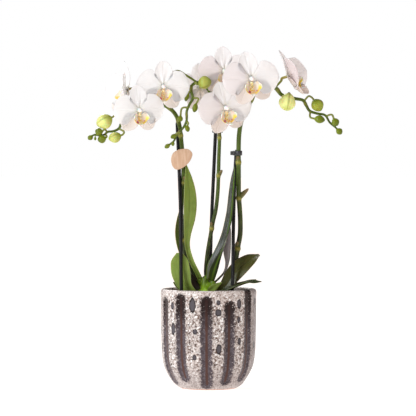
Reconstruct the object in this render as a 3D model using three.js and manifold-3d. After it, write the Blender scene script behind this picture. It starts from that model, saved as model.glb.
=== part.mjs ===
// A potted moth orchid: three flower spikes with eight white blooms, tied to black stakes, over a rosette
// of strap leaves, in a plastic grow pot full of bark that stands in a fluted and glazed cover pot.
import * as THREE from "three";
import { mergeVertices } from "three/addons/utils/BufferGeometryUtils.js";
import Module from "manifold-3d";

const wasm = await Module();
wasm.setup();

// Driving dimensions in millimetres. The origin is the middle of the pot's base. Seen from the front, x
// runs to the right, y to the back and z up.
const GAP = 0.3;
const POT = {
  height: 115, rim: 55.6, foot: 32.6, wall: 5.2, floor: 7,
  flutes: 12, fluteDepth: 1.7, fluteWidth: 13,
};
const GROW_POT = { base: 31, rim: 45.5, height: 95, wall: 1, lip: 1.2, lipHeight: 5 };
const DRAIN = { radius: 3, away: 18, angles: [45, 135, 225, 315] };
const BARK = { edge: 95, middle: 98, chips: 15 };
const CROWN = { x: -3.5, y: 0, bottom: 84, top: 131, radius: 6 };
const STAKE_RADIUS = 2.05;
const CLIP = { height: 5.5, wall: 1.2 };
const LEAF = { thickness: 1.7, margin: 0.9 };
const TEPAL_THICKNESS = 0.9;
const BLOOM = { sepal: 30, sepalWidth: 22, petal: 32, petalWidth: 37, heart: 3.6 };
const SPIKE_STEPS = 34;

const COLOUR = {
  glaze: 0xb9aca2,
  plastic: 0x2a2521,
  bark: 0x6b4028,
  leaf: 0x5d7d2e,
  darkLeaf: 0x3b4320,
  spike: 0x4c7030,
  bud: 0xc9d86a,
  petal: 0xf7f3f1,
  lip: 0xf0c24a,
  stake: 0x1b1a1a,
  clip: 0x34353a,
  tag: 0xe3bd98,
};

const vector = (x, y, z) => new THREE.Vector3(x, y, z);
const mix = THREE.MathUtils.lerp;
const smooth = THREE.MathUtils.smoothstep;
const radians = THREE.MathUtils.degToRad;
const curveThrough = (points) => new THREE.CatmullRomCurve3(points.map(([x, y, z]) => vector(x, y, z)));

// A repeatable draw of numbers between 0 and 1.
function drawFrom(seed) {
  let state = seed;
  return () => {
    state = (state * 1664525 + 1013904223) % 4294967296;
    return state / 4294967296;
  };
}

// A closed geometry as a solid that can be joined and cut.
function solidOf(geometry) {
  const plain = geometry.clone();
  plain.deleteAttribute("normal");
  plain.deleteAttribute("uv");
  const merged = mergeVertices(plain, 1e-4);
  const index = Array.from(merged.index.array);
  const faces = [];
  for (let i = 0; i < index.length; i += 3) {
    const [a, b, c] = index.slice(i, i + 3);
    if (a !== b && b !== c && c !== a) faces.push(a, b, c);
  }
  return new wasm.Manifold(
    new wasm.Mesh({
      numProp: 3,
      vertProperties: new Float32Array(merged.attributes.position.array),
      triVerts: new Uint32Array(faces),
    }),
  );
}

function geometryOf(solid) {
  const mesh = solid.getMesh();
  return new THREE.BufferGeometry()
    .setAttribute("position", new THREE.BufferAttribute(new Float32Array(mesh.vertProperties), 3))
    .setIndex(new THREE.BufferAttribute(new Uint32Array(mesh.triVerts), 1));
}

const join = (...geometries) => geometryOf(geometries.map(solidOf).reduce((whole, next) => whole.add(next)));
const cut = (geometry, ...tools) =>
  geometryOf(tools.map(solidOf).reduce((whole, tool) => whole.subtract(tool), solidOf(geometry)));

function facetedGeometry(points, faces) {
  return new THREE.BufferGeometry()
    .setAttribute("position", new THREE.Float32BufferAttribute(points.flatMap((point) => point.toArray()), 3))
    .setIndex(faces);
}

// A closed solid through a row of rings with the same number of points, capped at both ends.
function skin(rings) {
  const sides = rings[0].length;
  const middle = (ring) => ring.reduce((sum, point) => sum.add(point), vector(0, 0, 0)).divideScalar(sides);
  const points = [...rings.flat(), middle(rings[0]), middle(rings[rings.length - 1])];
  const firstCap = rings.length * sides;
  const faces = [];
  for (let ring = 0; ring < rings.length - 1; ring += 1) {
    for (let side = 0; side < sides; side += 1) {
      const a = ring * sides + side;
      const b = ring * sides + ((side + 1) % sides);
      faces.push(a, b, b + sides, a, b + sides, a + sides);
    }
  }
  for (let side = 0; side < sides; side += 1) {
    const next = (side + 1) % sides;
    const last = (rings.length - 1) * sides;
    faces.push(firstCap, next, side, firstCap + 1, last + side, last + next);
  }
  return facetedGeometry(points, faces);
}

// A closed solid between two grids of points, an upper and a lower face. Both faces are split along the same
// diagonals, so that a waved blade never meets itself.
function shell(upper, lower) {
  const rows = upper.length;
  const columns = upper[0].length;
  const at = (face, row, column) => (face * rows + row) * columns + column;
  const faces = [];
  const border = [];
  for (let row = 0; row < rows - 1; row += 1) {
    for (let column = 0; column < columns - 1; column += 1) {
      const corners = (face) => [
        at(face, row, column),
        at(face, row, column + 1),
        at(face, row + 1, column + 1),
        at(face, row + 1, column),
      ];
      const [a, b, c, d] = corners(0);
      const [e, f, g, h] = corners(1);
      faces.push(a, b, c, a, c, d, e, g, f, e, h, g);
    }
  }
  for (let column = 0; column < columns; column += 1) border.push([0, column]);
  for (let row = 1; row < rows; row += 1) border.push([row, columns - 1]);
  for (let column = columns - 2; column >= 0; column -= 1) border.push([rows - 1, column]);
  for (let row = rows - 2; row > 0; row -= 1) border.push([row, 0]);
  border.forEach(([row, column], place) => {
    const [nextRow, nextColumn] = border[(place + 1) % border.length];
    const here = at(0, row, column);
    const next = at(0, nextRow, nextColumn);
    const under = at(1, row, column);
    const nextUnder = at(1, nextRow, nextColumn);
    faces.push(next, here, under, next, under, nextUnder);
  });
  return facetedGeometry([...upper.flat(), ...lower.flat()], faces);
}

// A round tube along a curve, with its radius as a function of the way along it.
function tube(curve, radiusAt, steps, sides) {
  const frames = curve.computeFrenetFrames(steps, false);
  const rings = [];
  for (let step = 0; step <= steps; step += 1) {
    const centre = curve.getPointAt(step / steps);
    const radius = radiusAt(step / steps);
    const ring = [];
    for (let side = 0; side < sides; side += 1) {
      const angle = (2 * Math.PI * side) / sides;
      ring.push(
        centre
          .clone()
          .addScaledVector(frames.normals[step], radius * Math.cos(angle))
          .addScaledVector(frames.binormals[step], radius * Math.sin(angle)),
      );
    }
    rings.push(ring);
  }
  return skin(rings);
}

// A turned solid about z from a profile of [radius, height] points that starts and ends on the axis.
function turned(profile, segments) {
  const points = profile.map(([radius, height]) => new THREE.Vector2(radius, height));
  return new THREE.LatheGeometry(points, segments).rotateX(Math.PI / 2);
}

// Turns a geometry that points along z to point along a direction, and moves it to a place.
function aim(geometry, direction, place) {
  const turn = new THREE.Quaternion().setFromUnitVectors(vector(0, 0, 1), direction.clone().normalize());
  return geometry.applyQuaternion(turn).translate(place.x, place.y, place.z);
}

// The cover pot. Its flutes are shallow round-ended grooves, placed by hand as in a pot fluted by hand: the
// angle from the front in degrees, to the right, and the heights of the groove's upper and lower ends.
const POT_PROFILE = [
  [39, 4.3],
  [45.7, 13],
  [51.5, 25],
  [54.2, 41],
  [55, 66],
  [55.4, 94],
  [55.5, 105],
  [POT.rim, 112.6],
];
const FLUTES = [
  [-2.5, 104, 7],
  [26, 98, 11],
  [55, 113, 14],
  [86, 103, 9],
  [117, 108, 12],
  [146, 99, 8],
  [178, 105, 13],
  [207, 101, 9],
  [238, 109, 12],
  [266, 103, 8],
  [296, 101, 10],
  [324.5, 106, 15],
];

function fluteDepthAt(angle, height, radius) {
  const depths = FLUTES.map(([middle, top, bottom]) => {
    const turn = ((angle - middle + 540) % 360) - 180;
    const across = (radians(turn) * radius) / (POT.fluteWidth / 2);
    const past = Math.max(0, height - top, bottom - height) / 5;
    return 1 - smooth(Math.hypot(across, past), 0.45, 1.05);
  });
  return POT.fluteDepth * Math.max(...depths);
}

function coverPot() {
  const sides = POT.flutes * 4;
  const ringAt = (radius, height) => {
    const ring = [];
    for (let side = 0; side < sides; side += 1) {
      const angle = (360 * side) / sides;
      const sunk = radius - fluteDepthAt(angle, height, radius);
      ring.push(vector(sunk * Math.sin(radians(angle)), -sunk * Math.cos(radians(angle)), height));
    }
    return ring;
  };
  const outside = skin([
    ringAt(POT.foot, 0),
    ...POT_PROFILE.map(([radius, height]) => ringAt(radius, height)),
    ringAt(POT.rim - 1.2, POT.height - 0.4),
    ringAt(POT.rim - POT.wall / 2, POT.height),
  ]);
  const inside = turned(
    [
      [0, POT.floor],
      [32, POT.floor],
      [40, 15],
      [45.5, 30],
      [48.5, 50],
      [POT.rim - POT.wall, 80],
      [POT.rim - POT.wall, 113],
      [POT.rim - POT.wall + 2.2, POT.height + 1],
      [0, POT.height + 1],
    ],
    20,
  );
  return cut(outside, inside);
}

// The thin grow pot stands on the cover pot's floor and has four drain holes. It and the bark in it have
// the same sides, so that the gap between them stays even.
const FILLING_SIDES = 18;
const growPotBottom = POT.floor + GAP;
const growPotTop = growPotBottom + GROW_POT.height;
const growPotRadius = (height) =>
  mix(GROW_POT.base, GROW_POT.rim, (height - growPotBottom) / GROW_POT.height);

function growPot() {
  const { wall, rim, base, lip, lipHeight } = GROW_POT;
  const cup = turned(
    [
      [0, growPotBottom],
      [base, growPotBottom],
      [rim - 0.8, growPotTop - lipHeight - 1],
      [rim + lip, growPotTop - lipHeight],
      [rim + lip, growPotTop],
      [rim - wall, growPotTop],
      [base - wall, growPotBottom + wall],
      [0, growPotBottom + wall],
    ],
    FILLING_SIDES,
  );
  const drain = turned([[0, -1], [DRAIN.radius, -1], [DRAIN.radius, wall + 1], [0, wall + 1]], 6);
  const drains = DRAIN.angles.map((angle) =>
    drain.clone().translate(DRAIN.away, 0, growPotBottom).rotateZ(radians(angle)),
  );
  return cut(cup, ...drains);
}

// The stakes, from the bark up: the left and right ones lean back, and the middle one leans forward.
const STAKES = {
  left: [[-26, -17, 40], [-31, -16.4, 108], [-32.2, -6.8, 200], [-34.5, 0.6, 265], [-36.4, 4.2, 309]],
  middle: [[-0.5, 17, 40], [1.4, 15.5, 108], [3.4, 9.5, 190], [6.6, 7.5, 262], [8.6, 7.5, 306]],
  right: [[22, -15, 40], [27.2, -14, 108], [28.9, -3.5, 190], [30.2, 1.6, 238], [32.2, 4.8, 276]],
};
const stake = (side, extra = 0) => tube(curveThrough(STAKES[side]), () => STAKE_RADIUS + extra, 6, 7);

// The leaves. Each runs from the crown to its tip along its path. Its width direction is turned from the
// picture's plane by the angles at its base and its tip, its two halves are folded up by the angle of fold,
// and its outline gives its width, as a share of the named one, at even steps along it.
const LEAVES = {
  left_tall: {
    path: [[-10.6, -1.5, 126.5], [-14.6, -3, 134.5], [-20.4, -5, 146.5], [-25, -6.5, 162], [-25.4, -7.5, 176],
      [-23, -8.5, 196], [-22.2, -8.5, 214], [-22.8, -7, 232], [-26, -3, 259]],
    width: 20,
    turn: [24, 46],
    fold: [50, 14],
    outline: [0.44, 0.42, 0.4, 0.42, 0.62, 0.88, 0.98, 0.86, 0.55, 0.05],
    colour: COLOUR.leaf,
    steps: 9,
  },
  left_back: {
    path: [[-9, 10, 111], [-17, 14, 126], [-25, 16, 144], [-30, 15, 162], [-33.2, 14, 180], [-33, 12.5, 197],
      [-32.3, 10, 211]],
    width: 15,
    turn: [10, 35],
    fold: [40, 12],
    outline: [0.5, 0.5, 0.6, 0.82, 1, 0.96, 0.7, 0.08],
    colour: COLOUR.leaf,
    steps: 7,
  },
  left_folded: {
    path: [[-11.5, -6.5, 107], [-19, -7.5, 111.5], [-27, -8, 120], [-31.2, -8.2, 132], [-33, -8, 144],
      [-33.6, -7.5, 157]],
    width: 23,
    turn: [-8, -6],
    fold: [30, 10],
    outline: [0.42, 0.52, 0.68, 0.86, 0.97, 0.97, 0.84, 0.3],
    colour: COLOUR.leaf,
    steps: 7,
  },
  left_small: {
    path: [[-12.5, 4, 106], [-22, 4, 110], [-31, 4, 115], [-37, 3.5, 119], [-41, 3, 122.5]],
    width: 9,
    turn: [30, 30],
    fold: [20, 10],
    outline: [0.6, 0.9, 1, 0.8, 0.1],
    colour: COLOUR.leaf,
    steps: 5,
  },
  left_low: {
    path: [[-12, -1.5, 112.5], [-16, -1, 118], [-20.5, 0.5, 126], [-26, 2, 134]],
    width: 12,
    turn: [25, 30],
    fold: [20, 10],
    outline: [0.55, 0.85, 1, 0.8, 0.1],
    colour: COLOUR.darkLeaf,
    steps: 5,
  },
  right_tall: {
    path: [[5.4, -7.5, 124], [9.5, -7.5, 136.5], [13.9, -7, 153], [18, -6, 165.7], [20.9, -5.5, 176.2],
      [23.2, -5.2, 188], [25.3, -6, 201.2], [26.2, -6.5, 210], [27.5, -8, 227], [29.2, -9.5, 245],
      [30.2, -10, 257]],
    width: 29,
    turn: [-76, -46],
    fold: [68, 12],
    outline: [0.66, 0.94, 0.76, 0.65, 0.61, 0.55, 0.45, 0.36, 0.25, 0.04],
    colour: COLOUR.leaf,
    steps: 9,
  },
  right_back: {
    path: [[4.6, 6.5, 120], [12, 11, 126.5], [19, 15, 134.5], [22.8, 18, 144.5], [22.8, 19, 157],
      [23, 19, 172], [25.2, 18, 187]],
    width: 15,
    turn: [-66, -52],
    fold: [35, 12],
    outline: [0.34, 0.3, 0.32, 0.62, 0.96, 1, 0.75, 0.08],
    colour: COLOUR.darkLeaf,
    steps: 7,
  },
  right_broad: {
    path: [[5.4, -2, 109], [13, -2.5, 113], [20.5, -3, 119], [27, -3, 128.5], [34, -2, 136.5], [42, 0, 143.5],
      [50.5, 3, 149.5], [59, 6, 154]],
    width: 20,
    turn: [-8, -24],
    fold: [26, 12],
    outline: [0.5, 0.7, 0.84, 0.97, 1.06, 1.06, 0.9, 0.25],
    colour: COLOUR.darkLeaf,
    steps: 7,
  },
  right_low: {
    path: [[5, -7.5, 105.5], [13, -14, 109.5], [23, -21, 115], [34, -26, 120], [45, -29, 123.8],
      [61, -31, 124.5]],
    width: 15,
    turn: [-128, -120],
    fold: [30, 12],
    outline: [0.5, 0.72, 0.86, 0.82, 0.64, 0.42, 0.06],
    colour: COLOUR.leaf,
    steps: 7,
  },
  right_far: {
    path: [[4, 8.5, 106], [14, 16.5, 109], [25, 19.5, 114.5], [36, 23.5, 119], [46, 26, 122.5],
      [56, 27.5, 124.5]],
    width: 14,
    turn: [-62, -66],
    fold: [16, 8],
    outline: [0.5, 0.74, 0.94, 1, 0.8, 0.1],
    colour: COLOUR.darkLeaf,
    steps: 7,
  },
  front_small: {
    path: [[0, -8.8, 113], [5, -11, 116.5], [10, -12.5, 119.8], [15.5, -13.5, 123]],
    width: 8,
    turn: [-10, -10],
    fold: [24, 12],
    outline: [0.7, 1, 0.95, 0.6, 0.1],
    colour: COLOUR.leaf,
    steps: 5,
  },
};

// The value at a place along a list of values at even steps.
function along(values, way) {
  const place = way * (values.length - 1);
  const before = Math.min(Math.floor(place), values.length - 2);
  return mix(values[before], values[before + 1], place - before);
}

function leaf({ path, width, turn, fold, outline, steps }) {
  const curve = curveThrough(path);
  const columns = steps > 5 ? [-1, -0.55, 0, 0.55, 1] : [-1, 0, 1];
  const upper = [];
  const lower = [];
  for (let step = 0; step <= steps; step += 1) {
    const way = step / steps;
    const centre = curve.getPointAt(way);
    const tangent = curve.getTangentAt(way);
    const flat = vector(1, 0, 0).addScaledVector(tangent, -tangent.x).normalize();
    const back = new THREE.Vector3().crossVectors(tangent, flat);
    const angle = radians(mix(turn[0], turn[1], way));
    const side = flat.clone().multiplyScalar(Math.cos(angle)).addScaledVector(back, Math.sin(angle));
    const face = new THREE.Vector3().crossVectors(side, tangent);
    const half = (width / 2) * along(outline, way);
    const bend = radians(mix(fold[0], fold[1], smooth(way, 0, 0.6)));
    const point = (column, lift) =>
      centre
        .clone()
        .addScaledVector(side, column * half * Math.cos(bend))
        .addScaledVector(face, Math.abs(column) * half * Math.sin(bend) + lift);
    const thick = (column) => mix(LEAF.thickness, LEAF.margin, Math.abs(column)) / 2;
    upper.push(columns.map((column) => point(column, thick(column))));
    lower.push(columns.map((column) => point(column, -thick(column))));
  }
  return shell(upper, lower);
}

// The crown: a short upright stem with a stub for each leaf and each spike, and the thick roots below it.
const ROOTS = [
  [[-3.5, 0, 96], [-9, -7, 82], [-19, -13, 62], [-22, -9, 40]],
  [[-3.5, 0, 96], [6, -5, 80], [16, -12, 60], [14, -18, 34]],
  [[-3.5, 0, 96], [-10, 8, 80], [-16, 18, 58], [-8, 22, 34]],
];

function crown(extra = 0) {
  const { x, y, bottom, top, radius } = CROWN;
  const body = turned(
    [
      [0, bottom - extra],
      [radius * 0.8 + extra, bottom - extra],
      [radius + extra, bottom + 14],
      [radius * 0.95 + extra, top - 12],
      [radius * 0.55 + extra, top - 2],
      [0, top + extra],
    ],
    8,
  ).translate(x, y, 0);
  const roots = ROOTS.map((path) => tube(curveThrough(path), (way) => mix(3, 2, way) + extra, 3, 5));
  return [body, ...roots];
}

// A stub from inside the crown to just short of what grows on it.
function stub(start, towards, radius) {
  const outward = towards.clone().sub(start).normalize();
  const end = start.clone().addScaledVector(outward, -GAP);
  const rootHeight = THREE.MathUtils.clamp(end.z - 6, 103, CROWN.top - 6);
  const root = vector(mix(CROWN.x, end.x, 0.25), mix(CROWN.y, end.y, 0.25), rootHeight);
  const knee = end.clone().addScaledVector(outward, -3.2);
  return tube(new THREE.CatmullRomCurve3([root, knee, end]), (way) => mix(3.2, radius, way), 2, 4);
}

function crownWithStubs() {
  const leafStubs = Object.values(LEAVES).map(({ path, width, outline }) =>
    stub(vector(...path[0]), vector(...path[1]), Math.min(3.6, (width * outline[0]) / 2)),
  );
  const spikeStubs = Object.values(SPIKES).map(({ path, radius }) =>
    stub(vector(...path[0]), vector(...path[1]), radius[0]),
  );
  return join(...crown(), ...leafStubs, ...spikeStubs);
}

// The blooms. Each has its middle, the way it faces, its roll (its turn to the left) and its size against
// the usual one. Its petals are cupped forward by one angle, with tips bent on by some millimetres, and its
// lower sepals are swept forward by another. Its upper sepal leans to the left, and back by the nape, and
// its tip is bent forward by the hood. The spread gives the angles from the top to the lower sepals at its
// left and right.
const OPEN = { size: 1, cup: 5, tip: -3, sweep: 0, lean: 0, nape: 2, hood: -2.5, spread: [142, 142] };
const BLOOMS = {
  left_side: { ...OPEN, at: [-95, 14, 346.5], faces: [-0.92, -0.38, -0.08], roll: 2,
    cup: 25, tip: 2, sweep: 28, nape: 20, hood: 12, spread: [134, 134] },
  left_front: { ...OPEN, at: [-80, -37, 321.5], faces: [0.34, -0.92, -0.14], roll: 3, size: 0.95, lean: 2 },
  left_upper: { ...OPEN, at: [-52.6, -18, 349], faces: [0.2, -0.97, -0.1], roll: -2, size: 0.98 },
  middle_back: { ...OPEN, at: [-11, 31, 349], faces: [-0.62, 0.78, -0.05], roll: -8, size: 0.94, sweep: 6 },
  middle_top: { ...OPEN, at: [17.6, 2, 367.5], faces: [0.14, -0.98, -0.08], roll: 3, size: 0.94, sweep: 2 },
  right_front: { ...OPEN, at: [48.1, -43, 357], faces: [0.24, -0.96, -0.1], roll: 3,
    size: 1.04, lean: 10, spread: [157, 136] },
  middle_low: { ...OPEN, at: [18.9, -23, 324], faces: [0.36, -0.92, -0.12], roll: 6,
    size: 1.02, lean: 8, spread: [156, 138] },
  right_side: { ...OPEN, at: [92.5, -8, 361.3], faces: [0.92, -0.21, 0.33], roll: 2,
    size: 1.05, cup: 23, tip: 3, sweep: 28, nape: -5, spread: [144, 144] },
};

// A bloom's own frame has x to its right, y up and z the way it faces.
function bloomTurn({ faces, roll }) {
  const forward = vector(...faces).normalize();
  const right = new THREE.Vector3().crossVectors(vector(0, 0, 1), forward).normalize();
  const up = new THREE.Vector3().crossVectors(forward, right);
  const frame = new THREE.Matrix4().makeBasis(right, up, forward);
  const turn = new THREE.Quaternion().setFromRotationMatrix(frame);
  return turn.multiply(new THREE.Quaternion().setFromAxisAngle(vector(0, 0, 1), radians(roll)));
}

// One sepal or petal, from the middle of the bloom along y. Its half width comes from its outline, its tip
// is bent back or forward, its margins are lifted by the cup and its length is waved.
function tepal({ length, width, outline, bend, cup, wave, rows, columns }) {
  const upper = [];
  const lower = [];
  for (let row = 0; row <= rows; row += 1) {
    const way = row / rows;
    const half = (width / 2) * outline(way);
    const up = [];
    const down = [];
    for (let column = 0; column <= columns; column += 1) {
      const across = (2 * column) / columns - 1;
      const ripple = wave * Math.sin(5 * way + 2 * across) * Math.abs(across) * way;
      const lift = bend * way * way + cup * across * across * outline(way) + ripple;
      const round = length * way - 0.1 * half * across * across * way;
      up.push(vector(across * half, round, lift + TEPAL_THICKNESS / 2));
      down.push(vector(across * half, round, lift - TEPAL_THICKNESS / 2));
    }
    upper.push(up);
    lower.push(down);
  }
  return shell(upper, lower);
}

const sepalOutline = (way) =>
  mix(0.24, 1, smooth(way, 0, 0.5)) * Math.sqrt(1.01 - smooth(way, 0.52, 1.05) ** 2);
const petalOutline = (way) =>
  mix(0.14, 1, smooth(way, 0, 0.5)) * Math.sqrt(1.02 - smooth(way, 0.5, 1.08) ** 2);

function tepals({ cup, tip, sweep, lean, nape, hood, spread }) {
  const sepal = (angle, tilt, bend) =>
    tepal({
      length: BLOOM.sepal,
      width: BLOOM.sepalWidth,
      outline: sepalOutline,
      bend,
      cup: 2,
      wave: 0,
      rows: 4,
      columns: 2,
    })
      .rotateX(radians(tilt))
      .translate(0, 0, -0.9)
      .rotateZ(radians(angle));
  const petal = (angle) =>
    tepal({
      length: BLOOM.petal,
      width: BLOOM.petalWidth,
      outline: petalOutline,
      bend: tip,
      cup: -2.5,
      wave: 1,
      rows: 4,
      columns: 3,
    })
      .rotateX(radians(cup))
      .translate(0, 0, 0.7)
      .rotateZ(radians(angle));
  const heart = new THREE.CylinderGeometry(BLOOM.heart, BLOOM.heart, BLOOM.heart, 6).rotateX(Math.PI / 2);
  const lowerSepal = (angle) => sepal(angle, sweep / 9, 0.5 * sweep - 2.5);
  const [left, right] = spread;
  return join(heart, sepal(lean, -nape, hood), lowerSepal(left), lowerSepal(-right), petal(87), petal(-87));
}

// The lip is a small cup of three lobes that opens forward, with the column over it and a ridge inside it.
const LIP = { radius: 9, thickness: 0.8, forward: 11, down: 8.4, opening: 140, sideLobe: 98 };

// How far up the cup its rim reaches at a turn from straight down: the middle lobe and the two side lobes.
function lipReach(turn) {
  const middle = 1.15 * Math.exp(-((turn / 30) ** 2));
  const side = Math.exp(-(((Math.abs(turn) - LIP.sideLobe) / 48) ** 2));
  return Math.max(0.7, middle, side);
}

function lipCup() {
  const rows = 3;
  const columns = 8;
  const grid = (radius) => {
    const lines = [];
    for (let row = 0; row <= rows; row += 1) {
      const line = [];
      for (let column = 0; column <= columns; column += 1) {
        const turn = LIP.opening * ((2 * column) / columns - 1);
        const tilt = radians(mix(5, 104, (row / rows) * lipReach(turn)));
        const away = radius * Math.sin(tilt);
        const [sine, cosine] = [Math.sin(radians(turn)), Math.cos(radians(turn))];
        line.push(vector(away * sine, -away * cosine, -radius * Math.cos(tilt)));
      }
      lines.push(line);
    }
    return lines;
  };
  return shell(grid(LIP.radius), grid(LIP.radius - LIP.thickness)).translate(0, -LIP.down, LIP.forward);
}

function lipAndColumn() {
  const column = tube(
    curveThrough([[0, 0.3, 2.2], [0, 0.6, 5], [0, 0, 8], [0, -1.6, 10]]),
    (way) => mix(2.1, 2.6, smooth(way, 0.3, 0.8)) - 1.2 * smooth(way, 0.85, 1),
    3,
    5,
  );
  const foot = new THREE.SphereGeometry(2.7, 5, 3).scale(1, 1.9, 0.7).translate(0, -4, 4.4);
  const ridge = new THREE.SphereGeometry(1.8, 4, 3).scale(1, 1.6, 1.6).translate(0, -LIP.down, 5);
  return join(column, foot, ridge, lipCup());
}

// The flower spikes. Each has the path of its axis, its radius at the foot, at the bend and at the tip, the
// blooms on stalks from a place on the axis, and its buds with their own stalks. Each joint has its height
// and its scale's slant to the right and length.
const SPIKES = {
  left: {
    path: [[-10.5, 6, 119.5], [-16, 7.5, 129], [-21.5, 7, 142], [-27, 5.5, 156], [-30, 4, 174],
      [-31.6, 2.5, 194], [-31.7, 2, 209], [-29.6, 1, 235], [-29, 0, 256], [-30.6, -2, 277],
      [-32.2, -1.5, 293], [-33.4, -1, 303], [-36.7, 1, 314], [-42, 3, 321.5], [-50.4, 4.5, 327.5],
      [-60.8, 4.5, 331], [-71.3, 3, 332], [-81.7, 0, 329], [-92, -4, 320], [-99.9, -6.5, 309.5],
      [-103.3, -8, 301], [-109.5, -8, 297.6], [-116.5, -8, 296.7], [-120.5, -8, 293.5], [-126.4, -8, 292.6],
      [-132, -8, 293.4], [-135.4, -8, 291.2]],
    radius: [3, 2.3, 1.1],
    joints: [[171, -0.2, 9], [238, 0.2, 8], [292.5, -0.2, 7]],
    stalks: [
      { bloom: "left_side", from: [-80, -1.5, 331], way: [-86, 8, 341] },
      { bloom: "left_front", from: [-72, 2.8, 332], way: [-74, -8, 328] },
    ],
    buds: [
      { name: "left_first", at: [-120.2, -11, 309], points: [-0.88, -0.1, -0.46], size: [20, 8.8],
        from: [-100.5, -7, 309], way: [-106, -9, 317] },
      { name: "left_second", at: [-108, -12, 290.6], points: [-0.95, -0.1, -0.3], size: [15.5, 6.4],
        from: [-103.5, -8, 300.5], way: [-97.5, -10.5, 296.5] },
      { at: [-126.4, -13, 296.8], points: [-0.7, -0.3, 0.3], size: [9.5, 4.5], from: [-117, -8, 296.6],
        way: [-120, -12, 299.5] },
      { at: [-123, -13, 288.4], points: [-0.85, -0.2, -0.25], size: [10.5, 4.8], from: [-119.5, -8, 294.5],
        way: [-117.5, -11.5, 291] },
      { at: [-136.6, -8.3, 290.2], points: [-0.8, 0, -0.6], size: [7, 3.2], from: [-134, -8, 292.4],
        way: [-134.8, -8, 291.6] },
      { at: [-130.9, -8.5, 288.9], points: [0, -0.1, -1], size: [4.5, 1.6], from: [-130.9, -8, 293.2],
        way: [-130.9, -8.3, 291.5] },
    ],
    bracts: [[-34.9, 309.5, -1], [-46, 324.5, 1]],
  },
  middle: {
    path: [[-2.5, 8.5, 122], [-2.9, 9, 137], [-1, 7.5, 156.5], [1.9, 4, 174], [5.2, 2.5, 192.4],
      [8, 2, 204], [9.6, 2, 215], [11, 2, 231], [11.9, 2.5, 264], [12.7, 4, 293], [12, 6.5, 313],
      [7.5, 8, 331.5], [0, 6, 345.4], [-7.5, 1, 353], [-13.9, -4, 353.7], [-19.4, -6, 350],
      [-20, -7, 344.2], [-18.2, -8, 335.7], [-22.4, -9, 327.5], [-25.2, -10, 319.9], [-25.2, -11, 310.6],
      [-27.8, -11, 303.8], [-32.6, -11, 297.3], [-36.7, -11, 292.5], [-40.2, -11, 286], [-46, -11, 281.4]],
    radius: [2.6, 1.9, 1.1],
    joints: [[184.5, -0.2, 8], [246.5, 0.6, 8], [290, -0.1, 9]],
    stalks: [
      { bloom: "middle_top", from: [6, 8, 334.5], way: [16, 22, 344] },
      { bloom: "middle_back", from: [-5, 3, 351], way: [-3, 14, 350] },
      { bloom: "left_upper", from: [-13, -3.5, 353.8], way: [-25, -3, 361.5], over: [-37, -4, 367] },
    ],
    buds: [
      { name: "middle_first", at: [-4.4, -9.5, 353.6], points: [0.9, -0.35, 0.2], size: [16.5, 7.5],
        from: [-16, -4.8, 352.8], way: [-14, -8, 353.4] },
      { at: [-25, -8, 337], points: [-0.35, 0, -0.94], size: [11, 2.7], from: [-19.9, -7, 345],
        way: [-22.3, -7.6, 343] },
      { at: [-15.6, -10, 324.5], points: [-0.2, 0, -0.98], size: [11, 3.4], from: [-18.3, -8, 336],
        way: [-11.8, -9.5, 335] },
      { at: [-33.1, -12.5, 311.8], points: [-0.3, 0, -0.95], size: [8, 3.6], from: [-23.4, -9.4, 325],
        way: [-30.5, -11.5, 324] },
      { at: [-24.4, -12.5, 300.4], points: [0.25, 0, -0.97], size: [8, 2.9], from: [-25.3, -11, 309.5],
        way: [-23.4, -12, 306.5] },
      { at: [-40.6, -12.5, 291.6], points: [-0.8, 0, -0.6], size: [7.5, 2.9], from: [-33.5, -11, 296.3],
        way: [-36.5, -12, 295.3] },
      { at: [-41, -12, 282.8], points: [-0.25, 0, -0.97], size: [5.5, 1.9], from: [-40.6, -11, 286],
        way: [-40.8, -11.5, 284.5] },
      { at: [-47.6, -11.2, 280.3], points: [-0.8, 0, -0.6], size: [7.5, 2.7], from: [-44.8, -11, 282.2],
        way: [-46, -11, 281.4] },
    ],
    bracts: [[-20.4, 347, 1], [-25.6, 316, -1], [-34.5, 295, 1]],
  },
  right: {
    path: [[3.5, 5, 111.5], [11, 8.5, 113], [20, 10.5, 120], [27.5, 10, 132], [31, 8.5, 143],
      [32.4, 6.5, 152.6], [34, 6, 163], [36.6, 5.5, 177.3], [36.9, 4.5, 192.4], [36.1, 3.5, 208.6],
      [35, 2, 222], [34.9, 0.2, 240], [34.8, -1, 256], [34.8, -1.2, 275.8], [35.4, -1.5, 293.2],
      [37.8, -3, 308.3], [43.5, -6, 322.2], [48.7, -8, 332], [52.6, -10, 339.6], [58.5, -11, 346.5],
      [67.8, -11, 350.2], [77.8, -9, 347], [84, -7, 339.9], [92, -6, 336.6], [100.9, -6, 335],
      [109.4, -7, 333], [113, -8, 327], [116.8, -8, 321], [126, -8, 317.8], [134.5, -8, 316],
      [140.2, -8, 307.5], [147.3, -8, 301.3], [149.6, -8, 298.6]],
    radius: [3.2, 2.5, 1.1],
    joints: [[161, -0.2, 9], [220, 1, 16], [261, -0.1, 8]],
    stalks: [
      { bloom: "middle_low", from: [39.5, -4, 313], way: [31, 4, 320] },
      { bloom: "right_front", from: [60.5, -11, 347.5], way: [55, -20, 352] },
      { bloom: "right_side", from: [76.5, -9.2, 347.8], way: [84, -9, 356] },
    ],
    buds: [
      { name: "right_first", at: [90.8, -20.5, 331], points: [-0.1, -0.6, -0.79], size: [23.5, 9.6],
        from: [94, -6, 336.3], way: [94, -7.5, 340.5] },
      { name: "right_second", at: [125.6, -9, 327.5], points: [0.55, -0.1, -0.83], size: [16, 7.2],
        from: [110, -7, 332], way: [116, -8.5, 338] },
      { at: [128, -13.5, 311], points: [0.95, -0.1, -0.15], size: [13, 4.7], from: [117.5, -8, 320.5],
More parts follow.
